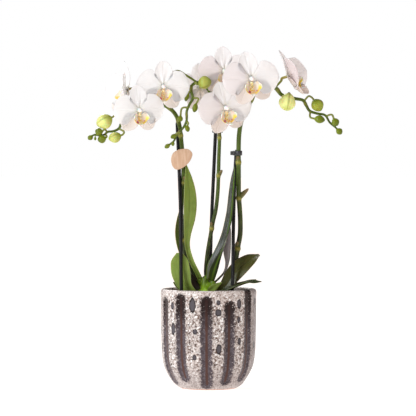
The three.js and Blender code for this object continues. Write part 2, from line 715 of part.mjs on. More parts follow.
        way: [117.5, -12, 313.5] },
      { at: [146.6, -9, 308], points: [0.5, 0, -0.86], size: [10, 4.5], from: [135.5, -8, 315],
        way: [142.5, -8.5, 316.5] },
      { at: [151, -8.3, 297.2], points: [0.7, 0, -0.7], size: [8.5, 4], from: [148, -8, 300.4],
        way: [149, -8, 299.2] },
    ],
    bracts: [[49.6, 334, 1], [80, 345.2, 1], [112.6, 329, 1]],
  },
};

// A bud along z with its foot at the origin: an egg with three rounded seams, blunt at both ends.
const BUD_ENDS = [0.03, 0.985];

function bud([length, radius], segments, rings) {
  const ringList = [];
  for (let ring = 0; ring <= rings; ring += 1) {
    const way = mix(...BUD_ENDS, ring / rings);
    const swell = Math.sin(Math.PI * way) ** 0.62;
    const points = [];
    for (let segment = 0; segment < segments; segment += 1) {
      const angle = (2 * Math.PI * segment) / segments;
      const seam = 1 - 0.06 * Math.cos(3 * angle) * swell;
      const reach = radius * swell * seam;
      points.push(vector(reach * Math.cos(angle), reach * Math.sin(angle), length * way));
    }
    ringList.push(points);
  }
  return skin(ringList);
}

const budFoot = ({ at, points, size }) =>
  vector(...at).addScaledVector(vector(...points).normalize(), -size[0] / 2);
const placedBud = (spec, segments, rings) =>
  aim(bud(spec.size, segments, rings), vector(...spec.points), budFoot(spec));

// The way along a curve, up to a last one, where a measure of its points is least.
function leastWay(curve, measure, last = 1) {
  const steps = 400;
  let best = 0;
  for (let step = 1; step <= steps * last; step += 1) {
    if (measure(curve.getPointAt(step / steps)) < measure(curve.getPointAt(best))) best = step / steps;
  }
  return best;
}

// A collar round the axis where two lengths of the spike meet, with a pointed scale that grows from it.
function joint(curve, way, radius, slant, length) {
  const place = curve.getPointAt(way);
  const direction = curve.getTangentAt(way);
  const collar = turned([[0, -2.5], [radius + 0.9, 0.5], [0, 5]], 5);
  const width = Math.max(radius, 0.19 * length);
  const scale = new THREE.ConeGeometry(width, length, 4).rotateX(Math.PI / 2).translate(0, 0, length / 2 - 1);
  return [aim(collar, direction, place), aim(scale, direction.clone().add(vector(slant, -0.2, 0)), place)];
}

// A small pointed scale at a place on the bent part of the axis, at its right or left side.
function bract(curve, [x, height, side]) {
  const way = leastWay(curve, (point) => Math.hypot(point.x - x, point.z - height));
  const place = curve.getPointAt(way);
  const direction = curve.getTangentAt(way).add(vector(side * 0.8, -0.3, 0));
  return aim(new THREE.ConeGeometry(1.3, 5.5, 4).rotateX(Math.PI / 2).translate(0, 0, 1.9), direction, place);
}

// A stalk ends just short of the back of its bloom's heart, square to it.
function bloomStalk({ bloom, from, way, over }) {
  const { at, faces, size } = BLOOMS[bloom];
  const forward = vector(...faces).normalize();
  const end = vector(...at).addScaledVector(forward, -size * (BLOOM.heart / 2) - GAP);
  const neck = end.clone().addScaledVector(forward, -7);
  const points = [vector(...from), vector(...way), ...(over ? [vector(...over)] : []), neck, end];
  return tube(new THREE.CatmullRomCurve3(points), (along) => mix(1.3, 1.7, along), over ? 7 : 4, 4);
}

// A named bud is a piece of its own, so its stalk ends just short of it. The small buds are grown on.
function budStalk({ name, from, way, at, points, size }) {
  const [length, radius] = size;
  const direction = vector(...points).normalize();
  const sunk = length * BUD_ENDS[0] + (name ? -GAP : length / 5);
  const end = budFoot({ at, points, size }).addScaledVector(direction, sunk);
  const neck = end.clone().addScaledVector(direction, -2.5);
  const line = [vector(...from), vector(...way), ...(name ? [neck] : []), end];
  return tube(new THREE.CatmullRomCurve3(line), () => Math.min(1.2, radius * 0.4), name ? 5 : 2, 4);
}

function spike({ path, radius, joints, stalks, buds, bracts }) {
  const curve = curveThrough(path);
  const [foot, bend, tip] = radius;
  const bendWay = leastWay(curve, (point) => -point.z);
  const radiusAt = (way) =>
    way < bendWay ? mix(foot, bend, way / bendWay) : mix(bend, tip, (way - bendWay) / (1 - bendWay));
  const pieces = [tube(curve, radiusAt, SPIKE_STEPS, 5)];
  joints.forEach(([height, slant, length]) => {
    const way = leastWay(curve, (point) => Math.abs(point.z - height), bendWay);
    pieces.push(...joint(curve, way, radiusAt(way), slant, length));
  });
  bracts.forEach((spec) => pieces.push(bract(curve, spec)));
  stalks.forEach((spec) => pieces.push(bloomStalk(spec)));
  buds.forEach((spec) => {
    pieces.push(budStalk(spec));
    if (!spec.name) pieces.push(placedBud(spec, 5, 3));
  });
  return join(...pieces);
}

// The clips are flat loops round a spike and its stake.
function loop(from, to, radius, height) {
  const outline = (grow) => {
    const direction = Math.atan2(to[1] - from[1], to[0] - from[0]);
    const quarter = Math.PI / 2;
    const shape = new THREE.Path();
    shape.absarc(to[0], to[1], radius + grow, direction - quarter, direction + quarter, false);
    shape.absarc(from[0], from[1], radius + grow, direction + quarter, direction + 3 * quarter, false);
    return shape.getPoints(3);
  };
  const shape = new THREE.Shape(outline(CLIP.wall));
  shape.holes.push(new THREE.Path(outline(0)));
  const ring = new THREE.ExtrudeGeometry(shape, { depth: CLIP.height, bevelEnabled: false });
  return ring.translate(0, 0, height);
}

function rightClip() {
  const hoop = loop([34.8, -1.2], [32.3, 4.4], 3, 269.5);
  const lever = new THREE.BoxGeometry(6.4, 3, 4.6).translate(28.6, 0.2, 272.2);
  return join(hoop, lever);
}

const leftClip = () => loop([-29.4, -0.9], [-34.5, 0.7], 3, 262.5);
const middleClip = () => loop([12.6, 4.7], [8.3, 7.4], 2.9, 296);

// The wooden tag hangs on the left clip's front.
const TAG = { thickness: 1.6, back: -5.3 };
const TAG_OUTLINE = [
  [-43.3, 266], [-41, 272.2], [-35.5, 275.9], [-28.5, 277.3], [-22.6, 276.4], [-18.6, 271.6], [-20.3, 265],
  [-25, 258.8], [-31.4, 254.4], [-37.6, 253.2], [-41.8, 257.4],
];

function tag() {
  const corners = TAG_OUTLINE.map(([x, z]) => vector(x, z, 0));
  const outline = new THREE.CatmullRomCurve3(corners, true).getPoints(22);
  const shape = new THREE.Shape(outline.slice(0, -1).map(({ x, y }) => new THREE.Vector2(x, y)));
  return new THREE.ExtrudeGeometry(shape, { depth: TAG.thickness, bevelEnabled: false })
    .rotateX(Math.PI / 2)
    .translate(0, TAG.back, 0);
}

// The bark: a plug that fills the grow pot, with loose chips over its top and plain holes for stakes and
// roots.
function barkChip([length, width, height], turn, lean, place) {
  return new THREE.BoxGeometry(length, width, height)
    .applyMatrix4(new THREE.Matrix4().makeShear(0.18, 0.12, 0.1, 0, 0, 0.15))
    .rotateY(radians(lean))
    .rotateZ(radians(turn))
    .translate(...place);
}

function bark() {
  const draw = drawFrom(12);
  const bottom = growPotBottom + GROW_POT.wall + GAP;
  const plug = turned(
    [
      [0, bottom],
      [growPotRadius(bottom) - GROW_POT.wall - 0.5, bottom],
      [growPotRadius(BARK.edge) - GROW_POT.wall - 0.7, BARK.edge],
      [0, BARK.middle],
    ],
    FILLING_SIDES,
  );
  const chips = [];
  for (let chip = 0; chip < BARK.chips; chip += 1) {
    const away = mix(12, 35, Math.sqrt((chip + 0.5) / BARK.chips));
    const angle = chip * 2.4;
    const size = [mix(8, 14, draw()), mix(5, 8, draw()), mix(3, 5, draw())];
    const height = mix(BARK.middle, BARK.edge + 0.5, away / 40) + 0.6;
    const place = [away * Math.cos(angle), away * Math.sin(angle), height];
    chips.push(barkChip(size, 360 * draw(), mix(-14, 14, draw()), place));
  }
  const upright = [
    barkChip([21, 7, 4], 200, 62, [-22, -24, 103]),
    barkChip([21, 6, 3.6], 80, 66, [-10, -22, 103.5]),
  ];
  const room = ["left", "middle", "right"].map((side) => stake(side, GAP));
  return cut(join(plug, ...chips, ...upright), ...room, ...crown(GAP));
}

// One named mesh for each piece.
const group = new THREE.Group();
group.name = "potted_moth_orchid";

function add(name, geometry, color, roughness, parent = group) {
  const mesh = new THREE.Mesh(geometry, new THREE.MeshStandardMaterial({ color, roughness, metalness: 0 }));
  mesh.name = name;
  parent.add(mesh);
}

add("pot", coverPot(), COLOUR.glaze, 0.25);
add("grow_pot", growPot(), COLOUR.plastic, 0.5);
add("bark", bark(), COLOUR.bark, 0.95);
add("crown", crownWithStubs(), COLOUR.leaf, 0.5);
Object.entries(LEAVES).forEach(([name, spec]) => add("leaf_" + name, leaf(spec), spec.colour, 0.4));
Object.keys(STAKES).forEach((name) => add("stake_" + name, stake(name), COLOUR.stake, 0.5));
add("clip_left", leftClip(), COLOUR.clip, 0.5);
add("clip_middle", middleClip(), COLOUR.clip, 0.5);
add("clip_right", rightClip(), COLOUR.clip, 0.5);
add("tag", tag(), COLOUR.tag, 0.7);
Object.entries(SPIKES).forEach(([name, spec]) => {
  add("spike_" + name, spike(spec), COLOUR.spike, 0.5);
  spec.buds
    .filter((each) => each.name)
    .forEach((each) => add("bud_" + each.name, placedBud(each, 8, 5), COLOUR.bud, 0.5));
});
Object.entries(BLOOMS).forEach(([name, spec]) => {
  const bloom = new THREE.Group();
  bloom.position.set(...spec.at);
  bloom.quaternion.copy(bloomTurn(spec));
  bloom.scale.setScalar(spec.size);
  add("bloom_" + name + "_tepals", tepals(spec), COLOUR.petal, 0.6, bloom);
  add("bloom_" + name + "_lip", lipAndColumn(), COLOUR.lip, 0.5, bloom);
  group.add(bloom);
});

export default group;
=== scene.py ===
import math

import bpy
import numpy as np
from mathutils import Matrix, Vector, kdtree


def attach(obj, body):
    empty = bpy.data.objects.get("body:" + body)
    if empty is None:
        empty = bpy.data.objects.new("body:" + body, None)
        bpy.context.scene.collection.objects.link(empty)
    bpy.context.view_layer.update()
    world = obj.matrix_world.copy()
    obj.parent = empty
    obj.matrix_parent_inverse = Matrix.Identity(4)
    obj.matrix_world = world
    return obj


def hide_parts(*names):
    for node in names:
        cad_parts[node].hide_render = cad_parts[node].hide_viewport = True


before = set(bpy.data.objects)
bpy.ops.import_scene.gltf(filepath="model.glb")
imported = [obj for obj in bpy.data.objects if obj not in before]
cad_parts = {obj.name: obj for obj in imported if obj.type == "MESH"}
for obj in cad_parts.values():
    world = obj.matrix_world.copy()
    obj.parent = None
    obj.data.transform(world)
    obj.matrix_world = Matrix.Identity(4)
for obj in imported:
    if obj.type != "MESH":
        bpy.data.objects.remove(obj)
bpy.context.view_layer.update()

# A flute fades out over its end, and the turn from one bark chip to the next is in radians.
MM = 0.001
FLUTE = {"depth": 1.7, "width": 13, "end": 5}
POT_SIDES = 432
BLOTCH_DEPTH = 0.25
GROW_POT = {"bottom": 7.3, "height": 95, "base": 31, "rim": 45.5, "lip": 1.2, "lip_height": 5, "wall": 1}
BARK = {"middle": 98, "edge": 95.5, "clear": 10, "reach": 38.5, "chips": 130, "turn": 2.4}
STAKE = {"radius": 2.05, "length": 269, "steps": 90}
BLOOM = {"sepal": 30, "sepal_width": 22, "petal": 32, "petal_width": 37, "heart": 3.6}
LIP = {"radius": 9, "wall": 0.45, "forward": 11, "down": 8.4, "opening": 140, "side_lobe": 98}
CROWN = {"x": -3.5, "low": 103, "high": 125}
CLIP = {"height": 5.5, "wall": 1.2, "edge": 0.3}
FLOOR_RADIUS = 30000

# The lights and the camera have their places in metres. The photograph is 416 pixels wide, each 1.159 mm
# where the pot stands, and its middle looks at LOOKS_AT.
LIT_PLACE = (0, 0, 0.22)
LOOKS_AT = (-0.0006, 0, 0.2086)
CAMERA_DISTANCE = 3.0
CAMERA_HEIGHT = 0.268
FRAME_WIDTH = 416 * 1.159 * MM


# Numbers and curves.

def mix(first, last, way):
    return first + (last - first) * way


def smooth(value, low, high):
    way = np.clip((value - low) / (high - low), 0, 1)
    return way * way * (3 - 2 * way)


def unit(vectors):
    vectors = np.asarray(vectors, float)
    return vectors / np.linalg.norm(vectors, axis=-1, keepdims=True)


def hump(value, middle, width):
    return np.exp(-(((value - middle) / width) ** 2))


def along(values, ways):
    """Reads values that are given at even steps from 0 to 1, smoothly."""
    values = np.asarray(values, float)
    slopes = np.gradient(values)
    place = np.clip(ways, 0, 1) * (len(values) - 1)
    before = np.minimum(place.astype(int), len(values) - 2)
    t = place - before
    first, last = values[before], values[before + 1]
    curved = (2 * t**3 - 3 * t**2 + 1) * first + (3 * t**2 - 2 * t**3) * last
    return curved + (t**3 - 2 * t**2 + t) * slopes[before] + (t**3 - t**2) * slopes[before + 1]


def spline(points, count, closed=False):
    """Even steps along the smooth curve through some points, the same curve as in the solids."""
    given = np.asarray(points, float)
    if closed:
        ends = np.vstack([given[-1:], given, given[:2]])
    else:
        ends = np.vstack([2 * given[0] - given[1], given, 2 * given[-1] - given[-2]])
    t = np.linspace(0, 1, 24, endpoint=False)[:, None]
    fine = []
    for p0, p1, p2, p3 in zip(ends, ends[1:], ends[2:], ends[3:]):
        d0, d1, d2 = (math.sqrt(np.linalg.norm(b - a)) for a, b in ((p0, p1), (p1, p2), (p2, p3)))
        start = ((p1 - p0) / d0 - (p2 - p0) / (d0 + d1) + (p2 - p1) / d1) * d1
        end = ((p2 - p1) / d1 - (p3 - p1) / (d1 + d2) + (p3 - p2) / d2) * d1
        cubic, square = 2 * p1 - 2 * p2 + start + end, 3 * p2 - 3 * p1 - 2 * start - end
        fine.append(cubic * t**3 + square * t**2 + start * t + p1)
    fine = np.vstack([*fine, ends[-2:-1]])
    lengths = np.r_[0, np.cumsum(np.linalg.norm(np.diff(fine, axis=0), axis=1))]
    places = np.linspace(0, lengths[-1], count, endpoint=not closed)
    return np.column_stack([np.interp(places, lengths, fine[:, axis]) for axis in range(given.shape[1])])


def directions(line):
    return unit(np.gradient(line, axis=0))


def round_angles(sides):
    return np.linspace(0, 2 * math.pi, sides, endpoint=False)


def grid_of(x, y, z):
    """Points from three grids of numbers."""
    return np.stack(np.broadcast_arrays(x, y, z), -1)


def turn_about(axis, degrees):
    """The matrix that turns column vectors about an axis."""
    cosine, sine = math.cos(math.radians(degrees)), math.sin(math.radians(degrees))
    rows = {
        "x": [[1, 0, 0], [0, cosine, -sine], [0, sine, cosine]],
        "y": [[cosine, 0, sine], [0, 1, 0], [-sine, 0, cosine]],
        "z": [[cosine, -sine, 0], [sine, cosine, 0], [0, 0, 1]],
    }
    return np.array(rows[axis])


# Shapes: points, faces over them and named values at the points.

class Shape:
    def __init__(self, points, faces, **values):
        self.points = np.asarray(points, float).reshape(-1, 3)
        self.faces = faces
        self.values = {name: np.broadcast_to(value, len(self.points)) for name, value in values.items()}

    def moved(self, matrix, shift=(0, 0, 0), **values):
        points = self.points @ np.asarray(matrix).T + np.asarray(shift, float)
        return Shape(points, self.faces, **self.values, **values)

    def aimed(self, direction, place):
        """Turns a shape that points along z to point along a direction, and moves it to a place."""
        turn = Vector((0, 0, 1)).rotation_difference(Vector(direction))
        return self.moved(np.array(turn.to_matrix()), place)


def joined(shapes):
    names = sorted({name for shape in shapes for name in shape.values})
    faces, start = [], 0
    for shape in shapes:
        faces += [tuple(start + corner for corner in face) for face in shape.faces]
        start += len(shape.points)
    values = {
        name: np.concatenate([shape.values.get(name, np.zeros(len(shape.points))) for shape in shapes])
        for name in names
    }
    return Shape(np.vstack([shape.points for shape in shapes]), faces, **values)


def cells_of(numbers):
    """The four corners of each cell in a grid of point numbers."""
    corners = [numbers[:-1, :-1], numbers[:-1, 1:], numbers[1:, 1:], numbers[1:, :-1]]
    return np.stack(corners, -1).reshape(-1, 4)


def closed_rings(rings, **values):
    """A closed skin over a row of rings of points. A value is one number, or one for each ring or point."""
    rings = np.asarray(rings, float)
    count, sides = rings.shape[:2]
    numbers = np.arange(count * sides).reshape(count, sides)
    faces = cells_of(np.c_[numbers, numbers[:, :1]]).tolist()
    first, last = count * sides, count * sides + 1
    for side in range(sides):
        after = (side + 1) % sides
        faces.append((first, after, side))
        faces.append((last, (count - 1) * sides + side, (count - 1) * sides + after))
    points = np.vstack([rings.reshape(-1, 3), rings[0].mean(0), rings[-1].mean(0)])
    spread = {}
    for name, value in values.items():
        value = np.asarray(value, float)
        whole = np.broadcast_to(value[:, None] if value.ndim == 1 else value, (count, sides))
        spread[name] = np.r_[whole.ravel(), whole[0].mean(), whole[-1].mean()]
    return Shape(points, faces, **spread)


def round_rings(reach, angles, heights, **values):
    """A closed skin round z, from the reach and height of its points at angles from the front."""
    return closed_rings(grid_of(reach * np.sin(angles), -reach * np.cos(angles), heights), **values)


def turned(profile, sides, **values):
    """A closed solid turned about z, from a profile of [radius, height] that runs along its whole outside."""
    radii, heights = np.asarray(profile, float).T[..., None]
    return round_rings(radii, round_angles(sides), heights, **values)


def blade(upper, lower, **values):
    """A closed thin solid between two grids of points."""
    rows, columns = upper.shape[:2]
    half = rows * columns
    numbers = np.arange(half).reshape(rows, columns)
    cells = cells_of(numbers)
    faces = np.stack([cells, half + cells[:, ::-1]], 1).reshape(-1, 4).tolist()
    border = np.r_[numbers[0], numbers[1:, -1], numbers[-1, -2::-1], numbers[-2:0:-1, 0]].tolist()
    for here, after in zip(border, border[1:] + border[:1]):
        faces.append((after, here, half + here, half + after))
    both = {}
    for name, value in values.items():
        both[name] = np.tile(np.broadcast_to(value, (rows, columns)).ravel(), 2)
    both["upper"] = np.r_[np.ones(half), np.zeros(half)]
    return Shape(np.vstack([upper.reshape(-1, 3), lower.reshape(-1, 3)]), faces, **both)


def tube(line, radii, sides=12, ribs=0, **values):
    """A round tube along a line. Ribs, a share of the radius, makes it slightly three-sided."""
    line = np.asarray(line, float)
    radii = np.broadcast_to(radii, len(line))
    angles = round_angles(sides)
    across = np.array([1.0, 0, 0] if abs(directions(line)[0][0]) < 0.9 else [0, 1.0, 0])
    rings = []
    for place, forward, radius in zip(line, directions(line), radii):
        across = unit(across - forward * across.dot(forward))
        other = np.cross(forward, across)
        reach = radius * (1 + ribs * np.cos(3 * angles))[:, None]
        rings.append(place + reach * (np.cos(angles)[:, None] * across + np.sin(angles)[:, None] * other))
    return closed_rings(rings, **values)


# Blender pieces from shapes.

def mesh_of(name, shape):
    mesh = bpy.data.meshes.new(name)
    mesh.from_pydata((shape.points * MM).tolist(), [], shape.faces)
    return mesh


def placed(name, data):
    thing = bpy.data.objects.new(name, data)
    bpy.context.scene.collection.objects.link(thing)
    return thing


def piece_of(name, shape, look, nodes):
    """A piece that rides on the part, stands for its nodes and has a look."""
    mesh = mesh_of(name, shape)
    for value_name, values in shape.values.items():
        layer = mesh.attributes.new(value_name, "FLOAT", "POINT")
        layer.data.foreach_set("value", np.asarray(values, np.float32))
    mesh.shade_smooth()
    mesh.materials.append(look)
    piece = placed(name, mesh)
    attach(piece, "root")
    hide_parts(*nodes)
    return piece


def fused(shapes, voxel, smoothing):
    """Shapes that run into each other as one smooth skin. It takes each value from the nearest old point."""
    whole = joined(shapes)
    mesh = mesh_of("fusing", whole)
    worker = placed("fusing", mesh)
    remesh = worker.modifiers.new("remesh", "REMESH")
    remesh.mode = "VOXEL"
    remesh.voxel_size = voxel * MM
    relax = worker.modifiers.new("relax", "SMOOTH")
    relax.factor = 0.5
    relax.iterations = smoothing
    result = worker.evaluated_get(bpy.context.evaluated_depsgraph_get()).to_mesh()
    points = np.array([vertex.co for vertex in result.vertices]) / MM
    faces = [tuple(face.vertices) for face in result.polygons]
    bpy.data.objects.remove(worker)
    bpy.data.meshes.remove(mesh)
    tree = kdtree.KDTree(len(whole.points))
    for index, point in enumerate(whole.points):
        tree.insert(point, index)
    tree.balance()
    nearest = np.array([tree.find(point)[1] for point in points])
    return Shape(points, faces, **{name: values[nearest] for name, values in whole.values.items()})


# Looks: procedural materials, built node by node.

class Field:
    """A number or a colour that varies over a surface. Plain arithmetic on it adds a node."""

    def __init__(self, look, socket):
        self.look, self.socket = look, socket

    def worked(self, operation, first, second=0.0):
        return self.look.field("Math", {0: first, 1: second}, 0, operation=operation)

    def __add__(self, other):
        return self.worked("ADD", self, other)

    def __sub__(self, other):
        return self.worked("SUBTRACT", self, other)

    def __rsub__(self, other):
        return self.worked("SUBTRACT", other, self)

    def __mul__(self, other):
        return self.worked("MULTIPLY", self, other)

    def __truediv__(self, other):
        return self.worked("DIVIDE", self, other)

    def __abs__(self):
        return self.worked("ABSOLUTE", self)

    def ranged(self, low, high, first=0.0, last=1.0):
        """Maps it smoothly from low..high to first..last."""
        inputs = {"Value": self, "From Min": low, "From Max": high, "To Min": first, "To Max": last}
        return self.look.field("MapRange", inputs, 0, interpolation_type="SMOOTHSTEP")

    def window(self, low, start, end, high):
        """1 where it is from start to end, and 0 where it is below low or above high."""
        return self.ranged(low, start) * self.ranged(high, end)

    def between(self, first, last, mode="MIX"):
        """The colour between two others, the first where it is 0 and the last where it is 1."""
        return self.look.field("Mix", {0: self, 6: first, 7: last}, 2, data_type="RGBA", blend_type=mode)


class Look:
    """A material in the making, whose fields are the outputs of its nodes."""

    def __init__(self, name):
        self.material = bpy.data.materials.new(name)
        self.material.use_nodes = True
        self.tree = self.material.node_tree
        self.shader = self.tree.nodes["Principled BSDF"]

    def fill(self, socket, value):
        """Links a field to a socket, or sets a number, a vector or a colour on it."""
        if isinstance(value, Field):
            self.tree.links.new(value.socket, socket)
        elif np.ndim(value) and len(socket.default_value) == 4:
            socket.default_value = (*value, 1)
        else:
            socket.default_value = value

    def field(self, kind, inputs, output, **settings):
        """Adds a node and gives one of its outputs."""
        node = self.tree.nodes.new("ShaderNode" + kind)
        for name, value in settings.items():
            setattr(node, name, value)
        for name, value in inputs.items():
            self.fill(node.inputs[name], value)
        return Field(self, node.outputs[output])

    def value(self, name):
        """A value that the mesh holds at its points."""
        return self.field("Attribute", {}, "Fac", attribute_name=name)

    def place(self):
        return self.field("TexCoord", {}, "Object")

    def height(self):
        return self.field("SeparateXYZ", {"Vector": self.place()}, "Z")

    def combined(self, x, y, z=0.0):
        return self.field("CombineXYZ", {"X": x, "Y": y, "Z": z}, 0)

    def noise(self, size, detail=3.0, roughness=0.55, tall=1, where=None, shift=(0, 0, 0)):
        """Noise with grains of about a size, in mm unless a place is given, and some times as tall."""
        grain = size * MM if where is None else size
        scale = (1 / grain, 1 / grain, 1 / (grain * tall))
        inputs = {"Vector": where or self.place(), "Scale": scale, "Location": shift}
        inputs = {"Vector": self.field("Mapping", inputs, 0), "Scale": 1.0, "Detail": detail}
        return self.field("TexNoise", inputs | {"Roughness": roughness}, "Fac")

    def bump(self, height, distance, under=None):
        inputs = {"Height": height, "Distance": distance * MM, "Strength": 1.0}
        if under is not None:
            inputs["Normal"] = under
        return self.field("Bump", inputs, 0)

    def done(self, colour, roughness, normal=None, **others):
        """Fills the shader and gives the material."""
        if normal is not None:
            others["Normal"] = normal
        for name, value in {"Base_Color": colour, "Roughness": roughness, **others}.items():
            self.fill(self.shader.inputs[name.replace("_", " ")], value)
        return self.material


def scaled(colour, share):
    return tuple(share * channel for channel in colour)


def paler(colour, share):
    return tuple(mix(channel, 1, share) for channel in colour)


# The cover pot. Each flute has its angle from the front in degrees and the heights of its two ends. Each
# blotch has its angle, height, width and length.
FLUTES = [(-2.5, 104, 7), (26, 98, 11), (55, 113, 14), (86, 103, 9), (117, 108, 12), (146, 99, 8),
          (178, 105, 13), (207, 101, 9), (238, 109, 12), (266, 103, 8), (296, 101, 10), (324.5, 106, 15)]
POT_OUTSIDE = [(32.6, 0), (39, 4.3), (45.7, 13), (51.5, 25), (54.2, 41), (55, 66), (55.4, 94), (55.5, 105),
               (55.6, 111.2), (55.1, 113.6), (53.6, 114.9), (52.2, 114.9), (50.8, 113.8)]
POT_INSIDE = [(50.4, 112), (50.4, 80), (48.5, 50), (45.5, 30), (40, 15), (32, 7.2), (0.4, 7)]
BLOTCHES = [(-19.5, 98.4, 7.4, 16), (-16.5, 68.5, 5.2, 5.8), (-17.4, 38.9, 4.6, 5.8),
            (11.8, 101.7, 4.6, 5.4), (11.8, 90.2, 7, 7.6), (12.5, 48.5, 6, 11), (-48.3, 97.1, 4.8, 8),
            (-47.3, 70.8, 6, 13.4), (39.3, 99.8, 5.6, 10.5), (38.8, 81.7, 3.8, 7), (39.9, 56.8, 4.4, 8)]


def round_pot(angles, middle, radii):
    """How far round the pot some angles are from a middle one."""
    return np.radians((angles - middle + 540) % 360 - 180) * radii


def flute_nearness(angles, heights, radii):
    """How near a point is to the middle of a flute: 1.6 on it, 0.6 at the flute's edge and 0 well outside."""
    nearness = np.zeros(np.broadcast(angles, heights).shape)
    for middle, top, bottom in FLUTES:
        across = round_pot(angles, middle, radii) / (FLUTE["width"] / 2)
        past = np.maximum(0, np.maximum(heights - top, bottom - heights)) / FLUTE["end"]
        nearness = np.maximum(nearness, 1.6 - np.hypot(across, past))
    return nearness


def all_blotches():
    """The blotches that the front shows, and like ones, drawn at random, on the ridges behind."""
    draw = np.random.default_rng(7)
    behind = [(after[0] + before[0]) / 2 for before, after in zip(FLUTES[2:], FLUTES[3:])][:8]
    blotches = list(BLOTCHES)
    for angle in behind:
        for height in (98, 72, 47):
            if draw.random() < 0.8:
                place = (angle + draw.uniform(-3, 3), height + draw.uniform(-7, 7))
                blotches.append((*place, draw.uniform(3.8, 6.5), draw.uniform(5, 13)))
    return blotches


def blotch_share(angles, heights, radii):
    """1 in the middle of a blotch, 0 at its edge and less outside it."""
    share = np.full(np.broadcast(angles, heights).shape, -1.0)
    for middle, height, width, length in all_blotches():
        across = round_pot(angles, middle, radii) / (width / 2)
        share = np.maximum(share, 1 - np.hypot(across, (heights - height) / (length / 2)))
    return share


def pot():
    outside, inside = spline(POT_OUTSIDE, 150), spline(POT_INSIDE, 40)
    radii, heights = np.vstack([outside, inside]).T[..., None]
    angles = np.linspace(0, 360, POT_SIDES, endpoint=False)
    outer = np.arange(len(radii))[:, None] < len(outside)
    flute = np.where(outer, flute_nearness(angles, heights, radii), 0)
    blotch = np.where(outer, blotch_share(angles, heights, radii), -1)
    # Mauve-brown streaked glaze on the two side ridges: partly real streaks, partly painted shade at the
    # pot's sides.
    smear = np.where(outer, hump(angles, 74, 12) + 0.5 * hump(angles, 282, 8), 0)
    reach = radii - FLUTE["depth"] * smooth(flute, 0.55, 1.15) - BLOTCH_DEPTH * smooth(blotch, -0.1, 0.3)
    return round_rings(reach, np.radians(angles), heights, flute=flute, blotch=blotch, smear=smear)


def ridge_glaze(look, height, drops, pits, ragged):
    """Cream glaze that has drawn together in drops, over brown, with small white drops and dark pits."""
    web = height.ranged(0.088, 0.104).between((0.15, 0.092, 0.070), (0.25, 0.17, 0.135))
    cream = drops.ranged(0.40, 0.55).between(web, (0.66, 0.585, 0.555))
    white = look.noise(2.6, detail=2).ranged(0.54, 0.63)
    ridge = pits.between(white.between(cream, (0.93, 0.91, 0.90)), (0.060, 0.032, 0.026))
    low = (height + ragged * 0.02).ranged(0.016, 0.044, 1.0, 0.0)
    taupe = look.noise(1.6, detail=4).ranged(0.4, 0.62).between((0.30, 0.25, 0.24), (0.62, 0.565, 0.55))
    ridge = (low * 0.85).between(ridge, taupe)
    rim = (height + ragged * 0.008).ranged(0.1125, 0.1185)
    freckled = look.noise(1.7).ranged(0.40, 0.52).between((0.42, 0.31, 0.27), (0.88, 0.81, 0.78))
    ridge = rim.between(ridge, freckled)
    # Two ridges at the sides have a thinner, mauve-brown glaze in upright streaks, partly the glaze's own
    # streaks and partly painted shade where the pot turns away at its sides.
    streaks = look.noise(1.3, tall=9)
    streaked = streaks.ranged(0.42, 0.58).between((0.10, 0.065, 0.06), (0.31, 0.255, 0.255))
    return (look.value("smear") * ragged.ranged(0.3, 0.6, 0.85, 1.0)).between(ridge, streaked)


def flute_glaze(look, height, flute, coarse, ragged):
    """Almost black near the top and mauve-grey lower down, with a red-brown middle line and pale flecks."""
    upper = (height - coarse * 0.03).ranged(0.045, 0.085)
    shade = look.noise(3.4, detail=4).ranged(0.4, 0.65).between((0.070, 0.052, 0.060), (0.118, 0.098, 0.114))
    flank = upper.between(shade, (0.014, 0.004, 0.003))
    core = upper.between((0.085, 0.038, 0.030), (0.026, 0.007, 0.005))
    dark = (flute + (ragged - 0.5) * 0.3).ranged(1.30, 1.44).between(flank, core)
    flecks = look.noise(1.7).ranged(0.62, 0.67) * flute.ranged(1.5, 0.8)
    return (flecks * 0.7).between(dark, (0.66, 0.58, 0.54))


def glaze_look():
    look = Look("glaze")
    height, flute = look.height(), look.value("flute")
    ragged, coarse = look.noise(2.4, detail=4), look.noise(9, detail=2)
    drops = look.noise(2.3, detail=4, roughness=0.65)
    pits = look.noise(2.9).ranged(0.60, 0.65)
    # A thin brown veil lies beside the flutes.
    edge = flute + (ragged - 0.5) * 1.3
    veil = edge.ranged(0.14, 0.50) * 0.55 * drops.ranged(0.62, 0.45)
    ridge = veil.between(ridge_glaze(look, height, drops, pits, ragged), (0.17, 0.12, 0.11))
    colour = edge.ranged(0.46, 0.70).between(ridge, flute_glaze(look, height, flute, coarse, ragged))
    # The blotches, where the glaze has drawn back, have a dark border.
    blotch = look.value("blotch") + (ragged - 0.5) * 0.6
    bare = blotch.ranged(0.02, 0.34).between((0.018, 0.010, 0.009), (0.090, 0.080, 0.092))
    colour = blotch.ranged(-0.16, -0.04).between(colour, bare)
    clay = (height + ragged * 0.0016).ranged(0.0014, 0.0022, 1.0, 0.0)
    colour = clay.between(colour, (0.60, 0.36, 0.28))
    normal = look.bump(drops - pits * 0.6, 0.35, under=look.bump(coarse, 0.6))
    roughness = look.noise(3).ranged(0.3, 0.7, 0.12, 0.28)
    return look.done(colour, roughness, normal, Specular_IOR_Level=0.2, Coat_Weight=0.08, Coat_Roughness=0.06)


piece_of("glazed_pot", pot(), glaze_look(), ["pot"])


# The grow pot.

def grow_pot():
    bottom, base, rim, wall = (GROW_POT[name] for name in ("bottom", "base", "rim", "wall"))
    top, outside = bottom + GROW_POT["height"], rim + GROW_POT["lip"]
    under_lip = top - GROW_POT["lip_height"]
    profile = [(0.3, bottom), (base - 1, bottom), (base, bottom + 1), (rim - 0.8, under_lip - 1),
               (outside - 0.3, under_lip), (outside, under_lip + 0.3), (outside, top - 0.4),
               (outside - 0.4, top), (rim - wall + 0.3, top), (rim - wall, top - 0.3),
               (base - wall, bottom + wall), (0.3, bottom + wall)]
    return turned(profile, 120)


